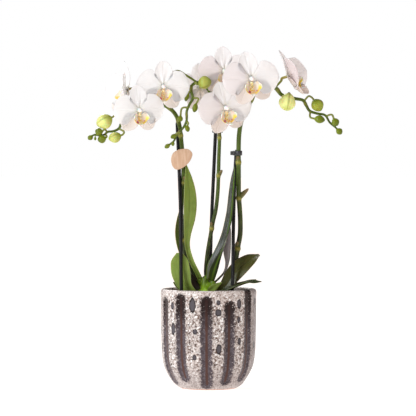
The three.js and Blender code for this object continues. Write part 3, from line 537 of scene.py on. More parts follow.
def plastic_look(name, colour, scratches):
    look = Look(name)
    worn = look.noise(2.5, detail=5, tall=8)
    shade = worn.ranged(0.55, 0.8).between(colour, paler(colour, 0.12))
    normal = look.bump(look.noise(0.5, detail=2), scratches)
    return look.done(shade, worn.ranged(0.3, 0.7, 0.36, 0.6), normal)


grow_plastic = plastic_look("grow_plastic", (0.035, 0.028, 0.024), 0.05)
piece_of("nursery_pot", grow_pot(), grow_plastic, ["grow_pot"])


# The bark: a rough bed with loose chips of many sizes on it.
STAKES = {
    "left": [(-26, -17, 40), (-31, -16.4, 108), (-32.2, -6.8, 200), (-34.5, 0.6, 265), (-36.4, 4.2, 309)],
    "middle": [(-0.5, 17, 40), (1.4, 15.5, 108), (3.4, 9.5, 190), (6.6, 7.5, 262), (8.6, 7.5, 306)],
    "right": [(22, -15, 40), (27.2, -14, 108), (28.9, -3.5, 190), (30.2, 1.6, 238), (32.2, 4.8, 276)],
}


def chip(size, turn, lean, place, draw):
    """An angular flake: a block of four by three by two cells whose corners are pulled about."""
    steps = [np.linspace(-0.5, 0.5, cells + 1) for cells in (4, 3, 2)]
    grid = np.stack(np.meshgrid(*steps, indexing="ij"), -1)
    points = grid.reshape(-1, 3) + draw.uniform(-0.07, 0.07, (grid[..., 0].size, 3))
    points[:, :2] *= 1 - 0.35 * np.abs(points[:, 2:3])
    numbers = np.arange(len(points)).reshape(grid.shape[:3])
    faces = []
    for axis in range(3):
        for side in (0, -1):
            outward = (side == -1) != (axis == 1)
            cells = cells_of(np.take(numbers, side, axis=axis))
            faces.append(cells[:, [0, 3, 2, 1] if outward else [1, 2, 3, 0]])
    used, faces = np.unique(np.vstack(faces), return_inverse=True)
    flake = Shape(points[used] * size, faces.reshape(-1, 4).tolist(), tone=draw.random())
    return flake.moved(turn_about("y", lean)).moved(turn_about("z", turn), place)


def bark():
    draw = np.random.default_rng(11)
    bottom, middle, edge = GROW_POT["bottom"] + GROW_POT["wall"] + 0.3, BARK["middle"], BARK["edge"]
    profile = [(0.3, bottom), (29.5, bottom), (43.4, 95), (38, 96.6), (26, 97.6), (12, middle), (0.3, middle)]
    shapes = [turned(profile, 96, tone=0.2)]
    # Each post has its place and the room that it needs, and a chip that would come too near is halved.
    posts = [(*path[1][:2], 3) for path in STAKES.values()] + [(CROWN["x"], 0, 8)]
    for number in range(BARK["chips"]):
        away = mix(BARK["clear"], BARK["reach"], math.sqrt((number + 0.5) / BARK["chips"]))
        x, y = away * math.cos(number * BARK["turn"]), away * math.sin(number * BARK["turn"])
        size = np.array([draw.uniform(6, 13), draw.uniform(4, 8), draw.uniform(2.4, 4.6)])
        turn, lean = draw.uniform(0, 360), draw.uniform(-24, 24)
        if min(math.hypot(x - post_x, y - post_y) - room for post_x, post_y, room in posts) < size[0] * 0.45:
            size *= 0.5
        height = mix(middle, edge, away / 40) + draw.uniform(0.4, 2.4)
        shapes.append(chip(size, turn, lean, (x, y, height), draw))
    shapes.append(chip((21, 7, 4), 200, 62, (-22, -24, 103), draw))
    shapes.append(chip((21, 6, 3.6), 80, 66, (-10, -22, 103.5), draw))
    return joined(shapes)


def bark_look():
    look = Look("bark")
    grain = look.noise(1.2, detail=6, roughness=0.7, tall=3)
    red = look.value("tone").between((0.10, 0.035, 0.016), (0.30, 0.115, 0.05))
    colour = grain.ranged(0.35, 0.7).between((0.05, 0.022, 0.012), red)
    ash = look.noise(5, detail=4).ranged(0.58, 0.75, 0.0, 0.5)
    colour = ash.between(colour, (0.36, 0.25, 0.18))
    return look.done(colour, 0.85, look.bump(grain, 0.6))


bark_piece = piece_of("bark_chips", bark(), bark_look(), ["bark"])
bark_piece.data.shade_flat()


# The stakes.

def stake(path):
    """A slightly uneven rod with rounded ends."""
    ways = np.linspace(0, 1, STAKE["steps"])
    from_end = np.minimum(ways, 1 - ways) * STAKE["length"]
    radii = STAKE["radius"] * (1 - 0.35 * hump(from_end, 0, 0.8))
    uneven = 1 + 0.012 * np.sin(np.arange(STAKE["steps"]) * 1.7)
    return tube(spline(path, STAKE["steps"]), radii * uneven, sides=20)


def stake_look():
    look = Look("stake")
    fibre = look.noise(0.7, detail=4, tall=30)
    colour = fibre.ranged(0.4, 0.75).between((0.004, 0.004, 0.005), (0.022, 0.019, 0.021))
    return look.done(colour, fibre.ranged(0.3, 0.7, 0.3, 0.5), look.bump(fibre, 0.12),
                     Specular_IOR_Level=0.25)


black = stake_look()
for name, path in STAKES.items():
    piece_of(name + "_stick", stake(path), black, ["stake_" + name])


# The leaves. path, width, turn, fold and outline are those of the solids.
LEAVES = {
    "left_tall": {
        "path": [(-10.6, -1.5, 126.5), (-14.6, -3, 134.5), (-20.4, -5, 146.5), (-25, -6.5, 162),
                 (-25.4, -7.5, 176), (-23, -8.5, 196), (-22.2, -8.5, 214), (-22.8, -7, 232), (-26, -3, 259)],
        "width": 20, "turn": (24, 46), "fold": (50, 14),
        "outline": [0.44, 0.42, 0.4, 0.42, 0.62, 0.88, 0.98, 0.86, 0.55, 0.05], "look": "fresh"},
    "left_back": {
        "path": [(-9, 10, 111), (-17, 14, 126), (-25, 16, 144), (-30, 15, 162), (-33.2, 14, 180),
                 (-33, 12.5, 197), (-32.3, 10, 211)],
        "width": 15, "turn": (10, 35), "fold": (40, 12),
        "outline": [0.5, 0.5, 0.6, 0.82, 1, 0.96, 0.7, 0.08], "look": "cream_edged"},
    "left_folded": {
        "path": [(-11.5, -6.5, 107), (-19, -7.5, 111.5), (-27, -8, 120), (-31.2, -8.2, 132), (-33, -8, 144),
                 (-33.6, -7.5, 157)],
        "width": 23, "turn": (-8, -6), "fold": (30, 10),
        "outline": [0.42, 0.52, 0.68, 0.86, 0.97, 0.97, 0.84, 0.3], "look": "fresh"},
    "left_small": {
        "path": [(-12.5, 4, 106), (-22, 4, 110), (-31, 4, 115), (-37, 3.5, 119), (-41, 3, 122.5)],
        "width": 9, "turn": (30, 30), "fold": (20, 10),
        "outline": [0.6, 0.9, 1, 0.8, 0.1], "look": "cream_edged"},
    "left_low": {
        "path": [(-12, -1.5, 112.5), (-16, -1, 118), (-20.5, 0.5, 126), (-26, 2, 134)],
        "width": 12, "turn": (25, 30), "fold": (20, 10),
        "outline": [0.55, 0.85, 1, 0.8, 0.1], "look": "purple"},
    "right_tall": {
        "path": [(5.4, -7.5, 124), (9.5, -7.5, 136.5), (13.9, -7, 153), (18, -6, 165.7),
                 (20.9, -5.5, 176.2), (23.2, -5.2, 188), (25.3, -6, 201.2), (26.2, -6.5, 210),
                 (27.5, -8, 227), (29.2, -9.5, 245), (30.2, -10, 257)],
        "width": 29, "turn": (-76, -46), "fold": (68, 12),
        "outline": [0.66, 0.94, 0.76, 0.65, 0.61, 0.55, 0.45, 0.36, 0.25, 0.04], "look": "silver"},
    "right_back": {
        "path": [(4.6, 6.5, 120), (12, 11, 126.5), (19, 15, 134.5), (22.8, 18, 144.5), (22.8, 19, 157),
                 (23, 19, 172), (25.2, 18, 187)],
        "width": 15, "turn": (-66, -52), "fold": (35, 12),
        "outline": [0.34, 0.3, 0.32, 0.62, 0.96, 1, 0.75, 0.08], "look": "lilac"},
    "right_broad": {
        "path": [(5.4, -2, 109), (13, -2.5, 113), (20.5, -3, 119), (27, -3, 128.5), (34, -2, 136.5),
                 (42, 0, 143.5), (50.5, 3, 149.5), (59, 6, 154)],
        "width": 20, "turn": (-8, -24), "fold": (26, 12),
        "outline": [0.5, 0.7, 0.84, 0.97, 1.06, 1.06, 0.9, 0.25], "look": "olive"},
    "right_low": {
        "path": [(5, -7.5, 105.5), (13, -14, 109.5), (23, -21, 115), (34, -26, 120), (45, -29, 123.8),
                 (61, -31, 124.5)],
        "width": 15, "turn": (-128, -120), "fold": (30, 12),
        "outline": [0.5, 0.72, 0.86, 0.82, 0.64, 0.42, 0.06], "look": "deep"},
    "right_far": {
        "path": [(4, 8.5, 106), (14, 16.5, 109), (25, 19.5, 114.5), (36, 23.5, 119), (46, 26, 122.5),
                 (56, 27.5, 124.5)],
        "width": 14, "turn": (-62, -66), "fold": (16, 8),
        "outline": [0.5, 0.74, 0.94, 1, 0.8, 0.1], "look": "deep"},
    "front_small": {
        "path": [(0, -8.8, 113), (5, -11, 116.5), (10, -12.5, 119.8), (15.5, -13.5, 123)],
        "width": 8, "turn": (-10, -10), "fold": (24, 12),
        "outline": [0.7, 1, 0.95, 0.6, 0.1], "look": "fresh"},
}
# The colours of a leaf's upper face, under face, streaks and margin.
LEAF_COLOURS = {
    "fresh": ((0.235, 0.335, 0.055), (0.20, 0.24, 0.08), (0.30, 0.41, 0.085), (0.32, 0.39, 0.14)),
    "cream_edged": ((0.10, 0.14, 0.022), (0.12, 0.14, 0.04), (0.15, 0.20, 0.035), (0.60, 0.55, 0.34)),
    "purple": ((0.035, 0.026, 0.020), (0.10, 0.05, 0.045), (0.07, 0.05, 0.03), (0.16, 0.10, 0.07)),
    # The grey upper face and pale grey streaks of this leaf are a painted reflection of the light on its
    # glossy face.
    "silver": ((0.046, 0.050, 0.040), (0.013, 0.026, 0.003), (0.20, 0.205, 0.18), (0.13, 0.24, 0.02)),
    "lilac": ((0.17, 0.135, 0.13), (0.11, 0.08, 0.08), (0.24, 0.20, 0.20), (0.07, 0.12, 0.02)),
    "olive": ((0.066, 0.068, 0.012), (0.13, 0.095, 0.042), (0.090, 0.088, 0.016), (0.15, 0.11, 0.05)),
    "deep": ((0.022, 0.032, 0.005), (0.022, 0.024, 0.007), (0.036, 0.05, 0.009), (0.12, 0.16, 0.03)),
}


def leaf(spec, phase):
    """A blade along its path, folded up along its middle, with a waved margin and a rib under it."""
    rows, columns = 72, 24
    line = spline(spec["path"], rows)
    ways, across = np.linspace(0, 1, rows), np.linspace(-1, 1, columns + 1)
    forward = directions(line)
    flat = unit(np.array([1.0, 0, 0]) - forward * forward[:, :1])
    back = np.cross(forward, flat)
    angle = np.radians(mix(*spec["turn"], ways))[:, None]
    side = flat * np.cos(angle) + back * np.sin(angle)
    face = np.cross(side, forward)
    half = spec["width"] / 2 * np.maximum(along(spec["outline"], ways), 0.04)
    bend = np.radians(mix(*spec["fold"], smooth(ways, 0, 0.6)))
    round_v = np.sqrt(across**2 + 0.01) - 0.1 - 0.06 * across**4
    wave = 0.35 * np.sin(7 * ways[:, None] + phase + across) * across**2
    reach = (half * np.cos(bend))[:, None] * across
    lift = (half * np.sin(bend))[:, None] * round_v + wave
    middle = line[:, None] + side[:, None] * reach[..., None] + face[:, None] * lift[..., None]
    thick = mix(0.8, 0.22, np.abs(across) ** 1.5) * mix(1, 0.45, smooth(ways, 0.9, 1))[:, None]
    rib = 0.5 * hump(across, 0, 0.07) * (1 - smooth(ways, 0.7, 1))[:, None]
    upper = middle + face[:, None] * (thick - 0.3 * rib)[..., None]
    lower = middle - face[:, None] * (thick + rib)[..., None]
    return blade(upper, lower, across=across, way=ways[:, None])


def leaf_look(name, colours):
    top, under, streak, margin = colours
    look = Look(name + "_leaf")
    across, way = look.value("across"), look.value("way")
    streaks = look.noise(0.09, where=look.combined(across, way * 0.5, way * 0.1))
    clouds = look.noise(14)
    speckles = look.noise(0.55, detail=1).ranged(0.68, 0.76)
    upper = streaks.ranged(0.42, 0.7).between(top, streak)
    upper = clouds.ranged(0.45, 0.75, 0.0, 0.5).between(upper, scaled(top, 0.62))
    upper = (speckles * 0.45).between(upper, paler(streak, 0.35))
    # Darker along the midrib crease of the upper face: painted shade in the fold.
    upper = abs(across).ranged(0.0, 0.06, 0.7, 0.0).between(upper, scaled(top, 0.45))
    lower = streaks.ranged(0.4, 0.7).between(under, scaled(under, 1.35))
    colour = look.value("upper").between(lower, upper)
    colour = (abs(across) + streaks * 0.03).ranged(0.95, 0.985).between(colour, margin)
    # The far half keeps the painted reflection, and the near half is dark green with a light-green stripe.
    if name == "silver":
        colour = across.ranged(0.10, 0.22).between(colour, (0.022, 0.038, 0.006))
        colour = across.window(0.30, 0.38, 0.52, 0.62).between(colour, (0.13, 0.24, 0.02))
    colour = way.ranged(0.0, 0.16, 0.5, 0.0).between(colour, (0.10, 0.16, 0.02))
    normal = look.bump(streaks, 0.25, under=look.bump(look.noise(0.8), 0.08))
    return look.done(colour, clouds.ranged(0.3, 0.7, 0.28, 0.42), normal, Specular_IOR_Level=0.28,
                     Subsurface_Weight=0.12, Subsurface_Scale=0.002)


leaf_looks = {name: leaf_look(name, colours) for name, colours in LEAF_COLOURS.items()}
for number, (name, spec) in enumerate(LEAVES.items()):
    piece_of(name + "_blade", leaf(spec, 1.7 * number), leaf_looks[spec["look"]], ["leaf_" + name])


# The blooms: where each one is, the way it faces, its roll and size, and how its tepals are set.
OPEN = {"size": 1, "cup": 5, "tip": -3, "sweep": 0, "lean": 0, "nape": 2, "hood": -2.5, "spread": (142, 142)}
BLOOMS = {
    "left_side": OPEN | {"at": (-95, 14, 346.5), "faces": (-0.92, -0.38, -0.08), "roll": 2,
                         "cup": 25, "tip": 2, "sweep": 28, "nape": 20, "hood": 12, "spread": (134, 134)},
    "left_front": OPEN | {"at": (-80, -37, 321.5), "faces": (0.34, -0.92, -0.14), "roll": 3,
                          "size": 0.95, "lean": 2},
    "left_upper": OPEN | {"at": (-52.6, -18, 349), "faces": (0.2, -0.97, -0.1), "roll": -2, "size": 0.98},
    "middle_back": OPEN | {"at": (-11, 31, 349), "faces": (-0.62, 0.78, -0.05), "roll": -8,
                           "size": 0.94, "sweep": 6},
    "middle_top": OPEN | {"at": (17.6, 2, 367.5), "faces": (0.14, -0.98, -0.08), "roll": 3,
                          "size": 0.94, "sweep": 2},
    "right_front": OPEN | {"at": (48.1, -43, 357), "faces": (0.24, -0.96, -0.1), "roll": 3,
                           "size": 1.04, "lean": 10, "spread": (157, 136)},
    "middle_low": OPEN | {"at": (18.9, -23, 324), "faces": (0.36, -0.92, -0.12), "roll": 6,
                          "size": 1.02, "lean": 8, "spread": (156, 138)},
    "right_side": OPEN | {"at": (92.5, -8, 361.3), "faces": (0.92, -0.21, 0.33), "roll": 2,
                          "size": 1.05, "cup": 23, "tip": 3, "sweep": 28, "nape": -5, "spread": (144, 144)},
}


def set_in_bloom(shape, spec):
    """Moves a shape from a bloom's own frame, with x right, y up and z forward, to its place."""
    forward = unit(spec["faces"])
    right = unit(np.cross([0, 0, 1], forward))
    turn = np.column_stack([right, np.cross(forward, right), forward]) @ turn_about("z", spec["roll"])
    return shape.moved(spec["size"] * turn, spec["at"])


def tepal(length, width, foot, bend, cup, ripple, keel, draw, rows=44, columns=30):
    """One sepal or petal from the middle of the bloom along y, with a folded middle and a waved margin.

    Foot is the share of its width where it starts, and its outer half is rounded.
    """
    ways = 0.9995 - (1 - np.linspace(0.02, 1, rows)[:, None]) ** 1.9
    across = np.linspace(-1, 1, columns + 1)[None]
    broad = mix(foot, 1, smooth(ways, 0, 0.5)) * np.sqrt(1 - np.clip(2 * ways - 1, 0, 1) ** 2.3)
    half = width / 2 * broad
    phase = draw.uniform(0, 2 * math.pi, 3)
    lift = bend * ways**2 + cup * across**2 * broad
    lift = lift + ripple * np.sin(5 * ways + 2 * across) * np.abs(across) * ways
    lift = lift + 0.45 * np.sin(9 * ways + 3 * across + phase[0]) * across**4 * smooth(ways, 0.25, 0.8)
    folds = hump(across, 0, 0.16) - 0.6 * hump(np.abs(across), 0.38, 0.16)
    lift = lift + keel * folds * (1 - smooth(ways, 0.1, 0.75))
    lift = lift - 0.5 * hump(across, 0, 0.06) * smooth(ways, 0.2, 0.5) * (1 - smooth(ways, 0.8, 1))
    margin = 1 + 0.012 * np.sin(11 * ways + phase[1]) + 0.01 * np.sin(23 * ways + phase[2])
    points = grid_of(across * half * margin, length * ways - 0.1 * half * across**2 * ways, lift)
    thick = (mix(0.42, 0.16, np.abs(across) ** 2) * mix(1.5, 1, smooth(ways, 0, 0.3)))[..., None]
    normal = unit(np.cross(np.gradient(points, axis=1), np.gradient(points, axis=0)))
    return blade(points + normal * thick, points - normal * thick, across=across, way=ways)


def tepals(spec, draw, blush):
    """Three sepals and, before them, two petals round a flat middle."""
    def sepal(angle, tilt, bend, keel, cream, share):
        flat = tepal(BLOOM["sepal"], BLOOM["sepal_width"], 0.24, bend, 2, 0, keel, draw)
        tilted = flat.moved(turn_about("x", tilt), (0, 0, -0.9), cream=cream, blush=share * blush)
        return tilted.moved(turn_about("z", angle))

    def petal(angle, share):
        flat = tepal(BLOOM["petal"], BLOOM["petal_width"], 0.14, spec["tip"], -2.5, 1, 0.5, draw, 48, 40)
        tilted = flat.moved(turn_about("x", spec["cup"]), (0, 0, 0.7), blush=share * blush)
        return tilted.moved(turn_about("z", angle))

    sweep, (left, right) = spec["sweep"], spec["spread"]
    # Each tepal takes a share of its bloom's painted shade, and the left petal (87) takes the most.
    upper = sepal(spec["lean"], -spec["nape"], spec["hood"], 1.1, 0, 0.3)
    # The lower sepals get cream, a painted shade as if the petals above shadowed them.
    lower = [sepal(angle, sweep / 9, 0.5 * sweep - 2.5, 0.5, 1, 0.6) for angle in (left, -right)]
    heart = BLOOM["heart"]
    profile = [(0.3, -heart / 2), (heart * 0.6, -heart / 2), (heart * 0.9, -0.6), (heart * 0.9, 0.6),
               (heart * 0.6, heart / 2), (0.3, heart / 2)]
    middle = turned(profile, 24, way=0.0, upper=1.0)
    return joined([middle, upper, *lower, petal(87, 1.15), petal(-87, 0.45)])


def petal_look():
    look = Look("petal")
    across, way = look.value("across"), look.value("way")
    fan = across / ((1.0 - way) * 0.6 + 0.55)
    veins = look.noise(0.075, detail=2, where=look.combined(fan, way * 0.12))
    clouds = look.noise(16, detail=2)
    white = clouds.ranged(0.35, 0.7).between((0.965, 0.96, 0.98), (0.955, 0.94, 0.955))
    colour = veins.ranged(0.48, 0.70, 0.0, 0.16).between(white, (0.88, 0.80, 0.81))
    colour = way.ranged(0.02, 0.30, 0.7, 0.0).between(colour, (0.92, 0.90, 0.72))
    # The beige-pink tint is painted shade. A share stops at 1, so painted shade above 1 is laid on in a
    # second coat.
    for low, high in ((0, 1), (1, 2)):
        shading = look.value("blush").ranged(low, high)
        colour = shading.between(colour, (0.86, 0.775, 0.77), "MULTIPLY")
    # Cream is painted shade on the lower sepals, as if the petals above shadowed them.
    colour = look.value("cream").between(colour, (0.80, 0.715, 0.64), "MULTIPLY")
    colour = abs(across).ranged(0.94, 1.0, 0.0, 0.4).between(colour, (0.90, 0.80, 0.82))
    sparkle = look.noise(0.35, detail=2)
    normal = look.bump(veins, 0.09, under=look.bump(sparkle, 0.03))
    return look.done(colour, 0.5, normal, Subsurface_Weight=0.6, Subsurface_Scale=0.006,
                     Subsurface_Radius=(1.0, 0.9, 0.85), Sheen_Weight=0.1, Sheen_Roughness=0.4)


# The lip: a cup of three lobes round the column, with a callus in it and two curled threads at its tip.

def lip_reach(turn):
    """How far up the cup its rim reaches at a turn from straight down."""
    middle = 1.15 * hump(turn, 0, 30)
    side = hump(np.abs(turn), LIP["side_lobe"], 48)
    return np.maximum(0.7, np.maximum(middle, side))


def lip_cup():
    rows, columns = 26, 112
    turns = np.linspace(-LIP["opening"], LIP["opening"], columns + 1)[None]
    rise = np.linspace(0, 1, rows)[:, None] * lip_reach(turns)
    tilt, turn = np.radians(mix(5, 104, rise)), np.radians(turns)
    flare = 0.9 * smooth(rise, 0.72, 1.05)

    def skin(radius):
        away = (radius + flare) * np.sin(tilt)
        return grid_of(away * np.sin(turn), -away * np.cos(turn) - LIP["down"],
                       -radius * np.cos(tilt) + LIP["forward"])

    inside, outside = skin(LIP["radius"] - LIP["wall"]), skin(LIP["radius"])
    left = turns / LIP["opening"]
    return blade(inside, outside, turn=left, side=np.abs(left), rise=rise)


# The lumps of the callus: the place and the radius of each in the bloom's own frame.
CALLUS = [(-1.4, -8.4, 4.5, 1.2), (1.4, -8.4, 4.5, 1.2), (0, -10.4, 3.8, 1.5), (0, -5.2, 4.0, 2.2)]


def lump(x, y, z, size):
    """A ball, made narrower and deeper."""
    angles = np.linspace(0.05, math.pi - 0.05, 12)
    profile = [(max(0.05, size * math.sin(angle)), -size * math.cos(angle)) for angle in angles]
    return turned(profile, 20, callus=1.0).moved(np.diag([0.8, 1, 1.15]), (x, y, z))


def thread(side):
    curl = [(side * 0.6, -16.8, 12.6), (side * 1.6, -17.6, 13.8), (side * 2.8, -17.4, 14.6),
            (side * 3.4, -16.4, 14.4)]
    return tube(spline(curl, 16), np.linspace(0.34, 0.12, 16), sides=8, tip=0.0)


def lip():
    line = spline([(0, 0.3, 1.4), (0, 0.7, 5), (0, 0.1, 8), (0, -1.8, 10.2)], 30)
    ways = np.linspace(0, 1, 30)
    radii = mix(2.0, 2.5, smooth(ways, 0.3, 0.7)) * np.sqrt(1.02 - smooth(ways, 0.5, 1.0) ** 2)
    column = tube(line, radii, sides=24, column=1.0, tip=smooth(ways, 0.86, 0.98))
    return joined([lip_cup(), column, *(lump(*place) for place in CALLUS), thread(-1), thread(1)])


def lip_look():
    look = Look("lip")
    inner, turn, side, rise = (look.value(name) for name in ("upper", "turn", "side", "rise"))
    blotchy = look.noise(1.6)
    # Beige deep inside the cup, a painted shade under the column, and near-white lower down, with a yellow
    # band along the upper half of the walls.
    colour = (inner * rise.ranged(0.98, 0.8)).between((0.95, 0.92, 0.92), (0.90, 0.83, 0.74))
    low = side.ranged(0.42, 0.20) * rise.ranged(0.30, 0.62)
    colour = (low * inner).between(colour, (0.95, 0.91, 0.86))
    walls = side.window(0.10, 0.20, 0.60, 0.80) * rise.window(0.40, 0.60, 0.90, 0.97)
    yellow = walls * blotchy.ranged(0.22, 0.42, 0.5, 1.0) * inner.ranged(0.0, 1.0, 0.55, 1.0)
    colour = yellow.between(colour, (0.93, 0.70, 0.10))
    gold = side.ranged(0.34, 0.22) * rise.ranged(0.66, 0.52) * (inner * blotchy.ranged(0.44, 0.54))
    colour = gold.between(colour, (0.95, 0.66, 0.13))
    # A long magenta streak on one wall, a small one on the other, and orange freckles near the callus.
    streak = turn.window(-0.30, -0.26, -0.12, -0.08) * rise.window(0.28, 0.34, 0.54, 0.62)
    spot = turn.window(0.30, 0.33, 0.40, 0.43) * rise.window(0.40, 0.46, 0.54, 0.60)
    colour = ((streak + spot * 0.7) * inner * 0.95).between(colour, (0.52, 0.06, 0.22))
    colour = (blotchy.ranged(0.58, 0.64) * (low * 0.55)).between(colour, (0.85, 0.36, 0.05))
    colour = look.value("column").between(colour, (0.95, 0.91, 0.90))
    colour = (look.value("tip") * 0.75).between(colour, (0.93, 0.62, 0.44))
    callus = blotchy.ranged(0.46, 0.60).between((0.95, 0.86, 0.56), (0.91, 0.58, 0.12))
    colour = look.value("callus").between(colour, callus)
    return look.done(colour, 0.4, look.bump(blotchy, 0.12), Subsurface_Weight=0.3, Subsurface_Scale=0.0025,
                     Coat_Weight=0.1)


# The blooms on the middle and right spikes get a beige-pink painted shade, which makes them darker than the
# pure white ones on the left.
SHADE_TINT = {"middle_top": 1.2, "middle_low": 0.9, "right_front": 0.7, "right_side": 1.6}
petal_white, lip_colours = petal_look(), lip_look()
for number, (name, spec) in enumerate(BLOOMS.items()):
    petals = tepals(spec, np.random.default_rng(40 + number), SHADE_TINT.get(name, 0.0))
    node = "bloom_" + name
    piece_of(name + "_petals", set_in_bloom(petals, spec), petal_white, [node + "_tepals"])
    piece_of(name + "_mouth", set_in_bloom(lip(), spec), lip_colours, [node + "_lip"])


# The flower spikes. Their paths, radii, joints, stalks, buds and bracts are those of the solids.
SPIKES = {
    "left": {
        "path": [(-10.5, 6, 119.5), (-16, 7.5, 129), (-21.5, 7, 142), (-27, 5.5, 156), (-30, 4, 174),
                 (-31.6, 2.5, 194), (-31.7, 2, 209), (-29.6, 1, 235), (-29, 0, 256), (-30.6, -2, 277),
                 (-32.2, -1.5, 293), (-33.4, -1, 303), (-36.7, 1, 314), (-42, 3, 321.5),
                 (-50.4, 4.5, 327.5), (-60.8, 4.5, 331), (-71.3, 3, 332), (-81.7, 0, 329), (-92, -4, 320),
                 (-99.9, -6.5, 309.5), (-103.3, -8, 301), (-109.5, -8, 297.6), (-116.5, -8, 296.7),
                 (-120.5, -8, 293.5), (-126.4, -8, 292.6), (-132, -8, 293.4), (-135.4, -8, 291.2)],
        "radius": (3, 2.3, 1.1),
        "joints": [(171, -0.2, 9), (238, 0.2, 8), (292.5, -0.2, 7)],
        "stalks": [
            ("left_side", (-80, -1.5, 331), (-86, 8, 341)),
            ("left_front", (-72, 2.8, 332), (-74, -8, 328)),
        ],
        "buds": [
            ("left_first", (-120.2, -11, 309), (-0.88, -0.1, -0.46), (20, 8.8), (-100.5, -7, 309),
             (-106, -9, 317)),
            ("left_second", (-108, -12, 290.6), (-0.95, -0.1, -0.3), (15.5, 6.4), (-103.5, -8, 300.5),
             (-97.5, -10.5, 296.5)),
            ("", (-126.4, -13, 296.8), (-0.7, -0.3, 0.3), (9.5, 4.5), (-117, -8, 296.6), (-120, -12, 299.5)),
            ("", (-123, -13, 288.4), (-0.85, -0.2, -0.25), (10.5, 4.8), (-119.5, -8, 294.5),
             (-117.5, -11.5, 291)),
            ("", (-136.6, -8.3, 290.2), (-0.8, 0, -0.6), (7, 3.2), (-134, -8, 292.4), (-134.8, -8, 291.6)),
            ("", (-130.9, -8.5, 288.9), (0, -0.1, -1), (4.5, 1.6), (-130.9, -8, 293.2),
             (-130.9, -8.3, 291.5)),
        ],
        "bracts": [(-34.9, 309.5, -1), (-46, 324.5, 1)],
    },
    "middle": {
        "path": [(-2.5, 8.5, 122), (-2.9, 9, 137), (-1, 7.5, 156.5), (1.9, 4, 174), (5.2, 2.5, 192.4),
                 (8, 2, 204), (9.6, 2, 215), (11, 2, 231), (11.9, 2.5, 264), (12.7, 4, 293), (12, 6.5, 313),
                 (7.5, 8, 331.5), (0, 6, 345.4), (-7.5, 1, 353), (-13.9, -4, 353.7), (-19.4, -6, 350),
                 (-20, -7, 344.2), (-18.2, -8, 335.7), (-22.4, -9, 327.5), (-25.2, -10, 319.9),
                 (-25.2, -11, 310.6), (-27.8, -11, 303.8), (-32.6, -11, 297.3), (-36.7, -11, 292.5),
                 (-40.2, -11, 286), (-46, -11, 281.4)],
        "radius": (2.6, 1.9, 1.1),
        "joints": [(184.5, -0.2, 8), (246.5, 0.6, 8), (290, -0.1, 9)],
        "stalks": [
            ("middle_top", (6, 8, 334.5), (16, 22, 344)),
            ("middle_back", (-5, 3, 351), (-3, 14, 350)),
            ("left_upper", (-13, -3.5, 353.8), (-25, -3, 361.5), (-37, -4, 367)),
        ],
        "buds": [
            ("middle_first", (-4.4, -9.5, 353.6), (0.9, -0.35, 0.2), (16.5, 7.5), (-16, -4.8, 352.8),
             (-14, -8, 353.4)),
            ("", (-25, -8, 337), (-0.35, 0, -0.94), (11, 2.7), (-19.9, -7, 345), (-22.3, -7.6, 343)),
            ("", (-15.6, -10, 324.5), (-0.2, 0, -0.98), (11, 3.4), (-18.3, -8, 336), (-11.8, -9.5, 335)),
            ("", (-33.1, -12.5, 311.8), (-0.3, 0, -0.95), (8, 3.6), (-23.4, -9.4, 325), (-30.5, -11.5, 324)),
            ("", (-24.4, -12.5, 300.4), (0.25, 0, -0.97), (8, 2.9), (-25.3, -11, 309.5), (-23.4, -12, 306.5)),
            ("", (-40.6, -12.5, 291.6), (-0.8, 0, -0.6), (7.5, 2.9), (-33.5, -11, 296.3),
             (-36.5, -12, 295.3)),
            ("", (-41, -12, 282.8), (-0.25, 0, -0.97), (5.5, 1.9), (-40.6, -11, 286), (-40.8, -11.5, 284.5)),
            ("", (-47.6, -11.2, 280.3), (-0.8, 0, -0.6), (7.5, 2.7), (-44.8, -11, 282.2), (-46, -11, 281.4)),
        ],
        "bracts": [(-20.4, 347, 1), (-25.6, 316, -1), (-34.5, 295, 1)],
    },
    "right": {
        "path": [(3.5, 5, 111.5), (11, 8.5, 113), (20, 10.5, 120), (27.5, 10, 132), (31, 8.5, 143),
                 (32.4, 6.5, 152.6), (34, 6, 163), (36.6, 5.5, 177.3), (36.9, 4.5, 192.4),
                 (36.1, 3.5, 208.6), (35, 2, 222), (34.9, 0.2, 240), (34.8, -1, 256), (34.8, -1.2, 275.8),
                 (35.4, -1.5, 293.2), (37.8, -3, 308.3), (43.5, -6, 322.2), (48.7, -8, 332),
                 (52.6, -10, 339.6), (58.5, -11, 346.5), (67.8, -11, 350.2), (77.8, -9, 347),
                 (84, -7, 339.9), (92, -6, 336.6), (100.9, -6, 335), (109.4, -7, 333), (113, -8, 327),
                 (116.8, -8, 321), (126, -8, 317.8), (134.5, -8, 316), (140.2, -8, 307.5),
                 (147.3, -8, 301.3), (149.6, -8, 298.6)],
        "radius": (3.2, 2.5, 1.1),
        "joints": [(161, -0.2, 9), (220, 1, 16), (261, -0.1, 8)],
        "stalks": [
            ("middle_low", (39.5, -4, 313), (31, 4, 320)),
            ("right_front", (60.5, -11, 347.5), (55, -20, 352)),
            ("right_side", (76.5, -9.2, 347.8), (84, -9, 356)),
        ],
        "buds": [
            ("right_first", (90.8, -20.5, 331), (-0.1, -0.6, -0.79), (23.5, 9.6), (94, -6, 336.3),
             (94, -7.5, 340.5)),
            ("right_second", (125.6, -9, 327.5), (0.55, -0.1, -0.83), (16, 7.2), (110, -7, 332),
             (116, -8.5, 338)),
            ("", (128, -13.5, 311), (0.95, -0.1, -0.15), (13, 4.7), (117.5, -8, 320.5), (117.5, -12, 313.5)),
            ("", (146.6, -9, 308), (0.5, 0, -0.86), (10, 4.5), (135.5, -8, 315), (142.5, -8.5, 316.5)),
            ("", (151, -8.3, 297.2), (0.7, 0, -0.7), (8.5, 4), (148, -8, 300.4), (149, -8, 299.2)),
        ],
        "bracts": [(49.6, 334, 1), (80, 345.2, 1), (112.6, 329, 1)],
    },
}


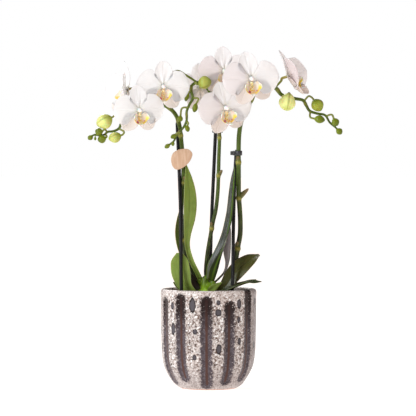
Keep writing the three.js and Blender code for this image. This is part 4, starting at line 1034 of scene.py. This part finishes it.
def bud(size, points_to, at, rings, sides, **values):
    """An egg with three rounded seams, along its own axis, with its way from foot to tip."""
    length, radius = size
    ways = mix(0.03, 0.985, np.linspace(0, 1, rings))[:, None]
    swell = np.sin(math.pi * ways) ** 0.62
    angles = round_angles(sides)[None]
    groove = 1 - np.minimum(np.abs(np.cos(1.5 * angles)), 0.35) / 0.35
    grooved = 1 - 0.07 * np.cos(3 * angles) - 0.09 * groove
    reach = radius * swell * mix(1, grooved, np.minimum(1, swell * 1.1))
    egg = grid_of(reach * np.cos(angles), reach * np.sin(angles), length * ways)
    shape = closed_rings(egg, way=ways, groove=groove, bud=1.0, **values)
    return shape.aimed(points_to, np.array(at) - unit(points_to) * length / 2)


def pointed_scale(place, forward, outward, length, width):
    """A small pointed scale that lies along a stem, bent clear of it at its tip."""
    ways = np.linspace(0, 1, 14)[:, None]
    across = np.linspace(-1, 1, 9)[None]
    outward = unit(outward - forward * np.dot(outward, forward))
    side = np.cross(forward, outward)
    half = width / 2 * np.sqrt(1 - ways**1.6)
    lift = 0.25 + 0.06 * length * ways**2 - 0.35 * width * across**2 * (1 - 0.5 * ways)
    points = (place + (length * ways)[..., None] * forward + (across * half)[..., None] * side
              + lift[..., None] * outward)
    return blade(points + 0.3 * outward, points - 0.3 * outward, way=ways, scale=1.0)


def bloom_stalk(bloom, start, *through):
    """From the stem to the back of a bloom, with its last 7 mm straight behind it."""
    facing = unit(bloom["faces"])
    end = np.array(bloom["at"]) - facing * bloom["size"] * BLOOM["heart"] * 0.45
    ways = np.linspace(0, 1, 60)
    points = spline([start, *through, end - facing * 7, end], 60)
    return tube(points, mix(1.25, 1.75, ways), sides=18, ribs=0.06, way=0.9, stalk=mix(0.2, 1, ways))


def bud_stalk(name, at, points_to, size, start, through):
    """From the stem into the foot of a bud. A named bud is a piece of its own, so its stalk ends sooner."""
    direction = unit(points_to)
    foot = np.array(at) - direction * size[0] / 2
    end = foot + direction * size[0] * (0.06 if name else 0.2)
    points = [start, through, end - direction * 2.5, end] if name else [start, through, end]
    return tube(spline(points, 30), min(1.2, size[1] * 0.4), sides=14, way=0.9, stalk=0.5)


def spike(spec):
    """A stem with thicker joints, its scales, its stalks and its smallest buds. It bends over at its top."""
    count = 420
    line = spline(spec["path"], count)
    forward = directions(line)
    ways = np.linspace(0, 1, count)
    travelled = np.arange(count) * np.linalg.norm(line[1] - line[0])
    top = ways[line[:, 2].argmax()]
    foot, bend, tip = spec["radius"]
    radii = np.where(ways < top, mix(foot, bend, ways / top), mix(bend, tip, (ways - top) / (1 - top)))
    upright = np.where(ways < top)[0]
    scales, nodes = [], np.zeros(count)
    for height, slant, length in spec["joints"]:
        at = upright[np.abs(line[upright, 2] - height).argmin()]
        nodes = np.maximum(nodes, hump(travelled, travelled[at], 2.2))
        leaning = unit(forward[at] + np.array([slant, -0.2, 0]))
        outward = np.array([0.4 * slant, -1, 0])
        place = line[at] + unit(outward) * radii[at] * 0.6
        scales.append(pointed_scale(place, leaning, outward, length, max(2.3 * radii[at], 0.36 * length)))
    for x, height, side in spec["bracts"]:
        at = np.hypot(line[:, 0] - x, line[:, 2] - height).argmin()
        nodes = np.maximum(nodes, 0.5 * hump(travelled, travelled[at], 2.5))
        outward = np.array([side, -0.4, 0.2])
        scales.append(pointed_scale(line[at] + unit(outward) * radii[at] * 0.7, forward[at], outward, 5, 2.6))
    shapes = [tube(line, radii * (1 + 0.28 * nodes), sides=20, way=ways, node=nodes)]
    shapes += [bloom_stalk(BLOOMS[name], *points) for name, *points in spec["stalks"]]
    for name, at, points_to, size, *stalk in spec["buds"]:
        shapes.append(bud_stalk(name, at, points_to, size, *stalk))
        if not name:
            shapes.append(bud(size, points_to, at, 24, 30))
    return joined([fused(shapes, 0.42, 3), *scales])


def spike_look():
    look = Look("spike")
    height, stalk = look.height(), look.value("stalk")
    fibre = look.noise(0.9, tall=14)
    clouds = look.noise(10)
    # Darker towards the bottom: below 0.17 to 0.27 m this is partly the older stems' darker colour and partly
    # painted shade among the leaves and stakes.
    green = height.ranged(0.17, 0.27).between((0.018, 0.024, 0.005), (0.062, 0.100, 0.010))
    green = height.ranged(0.285, 0.33).between(green, (0.085, 0.125, 0.012))
    colour = fibre.ranged(0.4, 0.72, 0.0, 0.55).between(green, (0.14, 0.20, 0.025))
    colour = clouds.ranged(0.55, 0.8, 0.0, 0.5).between(colour, (0.040, 0.052, 0.008))
    colour = (look.value("node") * 0.8).between(colour, (0.36, 0.32, 0.06))
    scale = look.value("way").between((0.10, 0.13, 0.025), (0.20, 0.12, 0.05))
    colour = look.value("scale").between(colour, scale)
    pale = stalk.ranged(0.3, 0.95).between((0.17, 0.22, 0.035), (0.42, 0.36, 0.10))
    colour = stalk.ranged(0.05, 0.2).between(colour, pale)
    small = look.value("way").between((0.20, 0.25, 0.010), (0.115, 0.155, 0.006))
    colour = look.value("bud").between(colour, small)
    return look.done(colour, clouds.ranged(0.3, 0.7, 0.3, 0.42), look.bump(fibre, 0.15),
                     Specular_IOR_Level=0.3, Subsurface_Weight=0.1, Subsurface_Scale=0.0015)


def bud_look():
    look = Look("bud")
    way, ripe = look.value("way"), look.value("ripe")
    veins = look.noise(2.2)
    foot = ripe.between((0.16, 0.21, 0.008), (0.42, 0.48, 0.05))
    body = ripe.between((0.30, 0.35, 0.014), (0.86, 0.88, 0.34))
    colour = way.ranged(0.05, 0.6).between(foot, body)
    colour = way.ranged(0.82, 1.0, 0.0, 0.6).between(colour, foot)
    colour = (veins.ranged(0.5, 0.75) * 0.3).between(colour, foot)
    colour = (look.value("groove") * 0.55).between(colour, (0.22, 0.22, 0.02))
    return look.done(colour, 0.38, look.bump(veins, 0.15), Specular_IOR_Level=0.3, Subsurface_Weight=0.3,
                     Subsurface_Scale=0.003)


# How far each large bud has turned from green to pale yellow.
RIPENESS = {"left_first": 0.85, "left_second": 0.5, "middle_first": 0.25, "right_first": 1.0,
            "right_second": 0.1}
green, pale_green = spike_look(), bud_look()
for name, spec in SPIKES.items():
    piece_of(name + "_stem", spike(spec), green, ["spike_" + name])
    for bud_name, at, points_to, size, *stalk in spec["buds"]:
        if bud_name:
            shape = bud(size, points_to, at, 60, 90, ripe=RIPENESS[bud_name])
            piece_of(bud_name + "_flower_bud", shape, pale_green, ["bud_" + bud_name])


# The crown: a short thick stem from which the leaves, the spikes and the roots grow.
ROOTS = [[(-3.5, 0, 96), (-9, -7, 82), (-19, -13, 62), (-22, -9, 40)],
         [(-3.5, 0, 96), (6, -5, 80), (16, -12, 60), (14, -18, 34)],
         [(-3.5, 0, 96), (-10, 8, 80), (-16, 18, 58), (-8, 22, 34)]]


def crown_stub(path, radius):
    """From inside the crown to the foot of what grows on it."""
    start, towards = np.array(path[:2], float)
    outward = unit(towards - start)
    height = np.clip(start[2] - 6, CROWN["low"], CROWN["high"])
    inside = np.array([mix(CROWN["x"], start[0], 0.25), mix(0, start[1], 0.25), height])
    points = spline([inside, start - 3.4 * outward, start + 0.4 * outward], 26)
    return tube(points, np.linspace(3.4, radius, 26), sides=18)


def crown():
    profile = [(0.3, 84), (4.8, 84), (6, 98), (5.9, 108), (5.7, 119), (4.6, 126), (3.3, 129), (1.4, 131),
               (0.2, 131.2)]
    shapes = [turned(profile, 32).moved(np.eye(3), (CROWN["x"], 0, 0))]
    for spec in LEAVES.values():
        shapes.append(crown_stub(spec["path"], min(3.6, spec["width"] * spec["outline"][0] / 2)))
    shapes += [crown_stub(spec["path"], spec["radius"][0]) for spec in SPIKES.values()]
    shapes += [tube(spline(path, 40), np.linspace(3, 2, 40), sides=14) for path in ROOTS]
    return fused(shapes, 0.6, 14)


def crown_look():
    look = Look("crown")
    fibre = look.noise(1.4, detail=4, tall=6)
    height = look.height()
    colour = height.ranged(0.110, 0.126).between((0.33, 0.57, 0.02), (0.060, 0.10, 0.008))
    colour = fibre.ranged(0.4, 0.7, 0.0, 0.5).between(colour, (0.36, 0.58, 0.03))
    colour = height.ranged(0.092, 0.101, 1.0, 0.0).between(colour, (0.42, 0.38, 0.27))
    return look.done(colour, 0.34, look.bump(fibre, 0.3), Specular_IOR_Level=0.3, Subsurface_Weight=0.12,
                     Subsurface_Scale=0.002)


piece_of("crown_and_roots", crown(), crown_look(), ["crown"])


# The clips are flat loops round a spike and its stake, with rounded edges.

def loop(stem, stick, radius, height):
    stem, stick = np.array(stem, float), np.array(stick, float)
    toward = math.atan2(*(stick - stem)[::-1])
    quarter = math.pi / 2
    centres = [(stick, toward + angle) for angle in np.linspace(-quarter, quarter, 22)]
    centres += [(stem, toward + angle) for angle in np.linspace(quarter, 3 * quarter, 22)]
    tall, wall, edge = CLIP["height"], CLIP["wall"], CLIP["edge"]
    section = [(0, edge), (edge, 0), (wall - edge, 0), (wall, edge), (wall, tall - edge), (wall - edge, tall),
               (edge, tall), (0, tall - edge)]
    points = []
    for centre, angle in centres:
        outward = np.array([math.cos(angle), math.sin(angle)])
        points += [[*(centre + outward * (radius + away)), height + up] for away, up in section]
    numbers = np.arange(len(points)).reshape(len(centres), len(section))
    return Shape(points, cells_of(np.pad(numbers, ((0, 1), (0, 1)), mode="wrap")).tolist())


def lever():
    """The thumb piece of the right clip: a rounded block with three grip ridges."""
    outline = spline([(-3.2, -0.9, 0), (-2.6, -1.5, 0), (2.6, -1.5, 0), (3.2, -0.9, 0), (3.2, 0.9, 0),
                      (2.6, 1.5, 0), (-2.6, 1.5, 0), (-3.2, 0.9, 0)], 40, closed=True)
    rings = []
    for way in np.linspace(0, 1, 31):
        grip = 0.12 * math.cos(way * 3 * 2 * math.pi)
        size = 1 - 0.12 * hump(way, 0, 0.08) - 0.12 * hump(way, 1, 0.08) - 0.03 * grip
        rings.append(outline * size + np.array([28.6, 0.2, 269.9 + 4.6 * way]))
    return closed_rings(rings)


clip_grey = plastic_look("clip", (0.030, 0.030, 0.033), 0.08)
piece_of("left_tie", loop((-29.4, -0.9), (-34.5, 0.7), 3, 262.5), clip_grey, ["clip_left"])
piece_of("middle_tie", loop((12.6, 4.7), (8.3, 7.4), 2.9, 296), clip_grey, ["clip_middle"])
right_clip = joined([loop((34.8, -1.2), (32.3, 4.4), 3, 269.5), lever()])
piece_of("right_tie", right_clip, clip_grey, ["clip_right"])


# The bare wooden tag.
TAG_OUTLINE = [(-43.3, 266), (-41, 272.2), (-35.5, 275.9), (-28.5, 277.3), (-22.6, 276.4), (-18.6, 271.6),
               (-20.3, 265), (-25, 258.8), (-31.4, 254.4), (-37.6, 253.2), (-41.8, 257.4)]


def tag():
    """A flat piece with rounded edges, between a front and a back, from rings drawn in towards its middle."""
    outline = spline([(x, 0, z) for x, z in TAG_OUTLINE], 120, closed=True)
    inward = unit(outline.mean(0) - outline)
    front, back, rounding = -6.9, -5.3, 0.35
    steps = [(7, back), (rounding, back), (0.1, back - 0.1), (0, back - rounding),
             (0, front + rounding), (0.1, front + 0.1), (rounding, front), (7, front)]
    return closed_rings([outline + inward * inset + np.array([0, depth, 0]) for inset, depth in steps])


def tag_look():
    look = Look("tag_wood")
    rings = look.noise(2.2, detail=4, tall=9, shift=(0.3, 0, 0.1))
    pores = look.noise(0.35, detail=2, tall=12)
    colour = rings.ranged(0.35, 0.68).between((0.58, 0.365, 0.235), (0.67, 0.46, 0.32))
    colour = pores.ranged(0.6, 0.75, 0.0, 0.5).between(colour, (0.58, 0.34, 0.19))
    return look.done(colour, 0.6, look.bump(pores, 0.06))


piece_of("wooden_tag", tag(), tag_look(), ["tag"])


# The floor, the light and the camera.

def floor():
    angles = round_angles(96)
    disc = grid_of(FLOOR_RADIUS * np.cos(angles), FLOOR_RADIUS * np.sin(angles), 0)
    look = Look("floor")
    pale = look.noise(400).between((0.42, 0.42, 0.42), (0.46, 0.46, 0.46))
    look.done(pale, 0.8, Emission_Color=(1, 0.93, 0.89), Emission_Strength=0.95)
    piece = placed("floor", mesh_of("floor", Shape(disc, [tuple(range(96))])))
    piece.data.materials.append(look.material)


def aim(thing, place, target):
    thing.location = place
    thing.rotation_euler = (Vector(target) - Vector(place)).to_track_quat("-Z", "Y").to_euler()


def lamp(name, place, size, power, colour):
    light = bpy.data.lights.new(name, "AREA")
    light.color = colour
    light.shape = "DISK"
    light.size = size
    light.energy = power
    aim(placed(name, light), place, LIT_PLACE)


def studio():
    """Even soft light from all round, before a backdrop that looks white."""
    world = bpy.data.worlds.new("studio")
    world.use_nodes = True
    nodes, links = world.node_tree.nodes, world.node_tree.links
    light = nodes["Background"]
    light.inputs["Strength"].default_value = 0.36
    light.inputs["Color"].default_value = (1, 0.92, 0.885, 1)
    backdrop = nodes.new("ShaderNodeBackground")
    backdrop.inputs["Color"].default_value = (1, 1, 1, 1)
    seen = nodes.new("ShaderNodeLightPath").outputs["Is Camera Ray"]
    either = nodes.new("ShaderNodeMixShader")
    for number, output in enumerate((seen, light.outputs[0], backdrop.outputs[0])):
        links.new(output, either.inputs[number])
    links.new(either.outputs[0], nodes["World Output"].inputs["Surface"])
    bpy.context.scene.world = world


floor()
lamp("key", (-1.9, -1.5, 1.25), 1.0, 44, (0.90, 0.965, 1))
lamp("fill", (1.9, -1.6, 0.6), 1.2, 1.5, (1, 0.90, 0.84))
lamp("back", (-0.6, 1.7, 1.3), 1.0, 14, (1, 0.97, 0.95))
studio()
bpy.context.scene.view_settings.view_transform = "Standard"

camera = placed("camera", bpy.data.cameras.new("camera"))
aim(camera, (LOOKS_AT[0], -CAMERA_DISTANCE, CAMERA_HEIGHT), LOOKS_AT)
camera.data.sensor_width = 36
camera.data.lens = camera.data.sensor_width * CAMERA_DISTANCE / FRAME_WIDTH
camera.data.clip_end = 100
bpy.context.scene.camera = camera
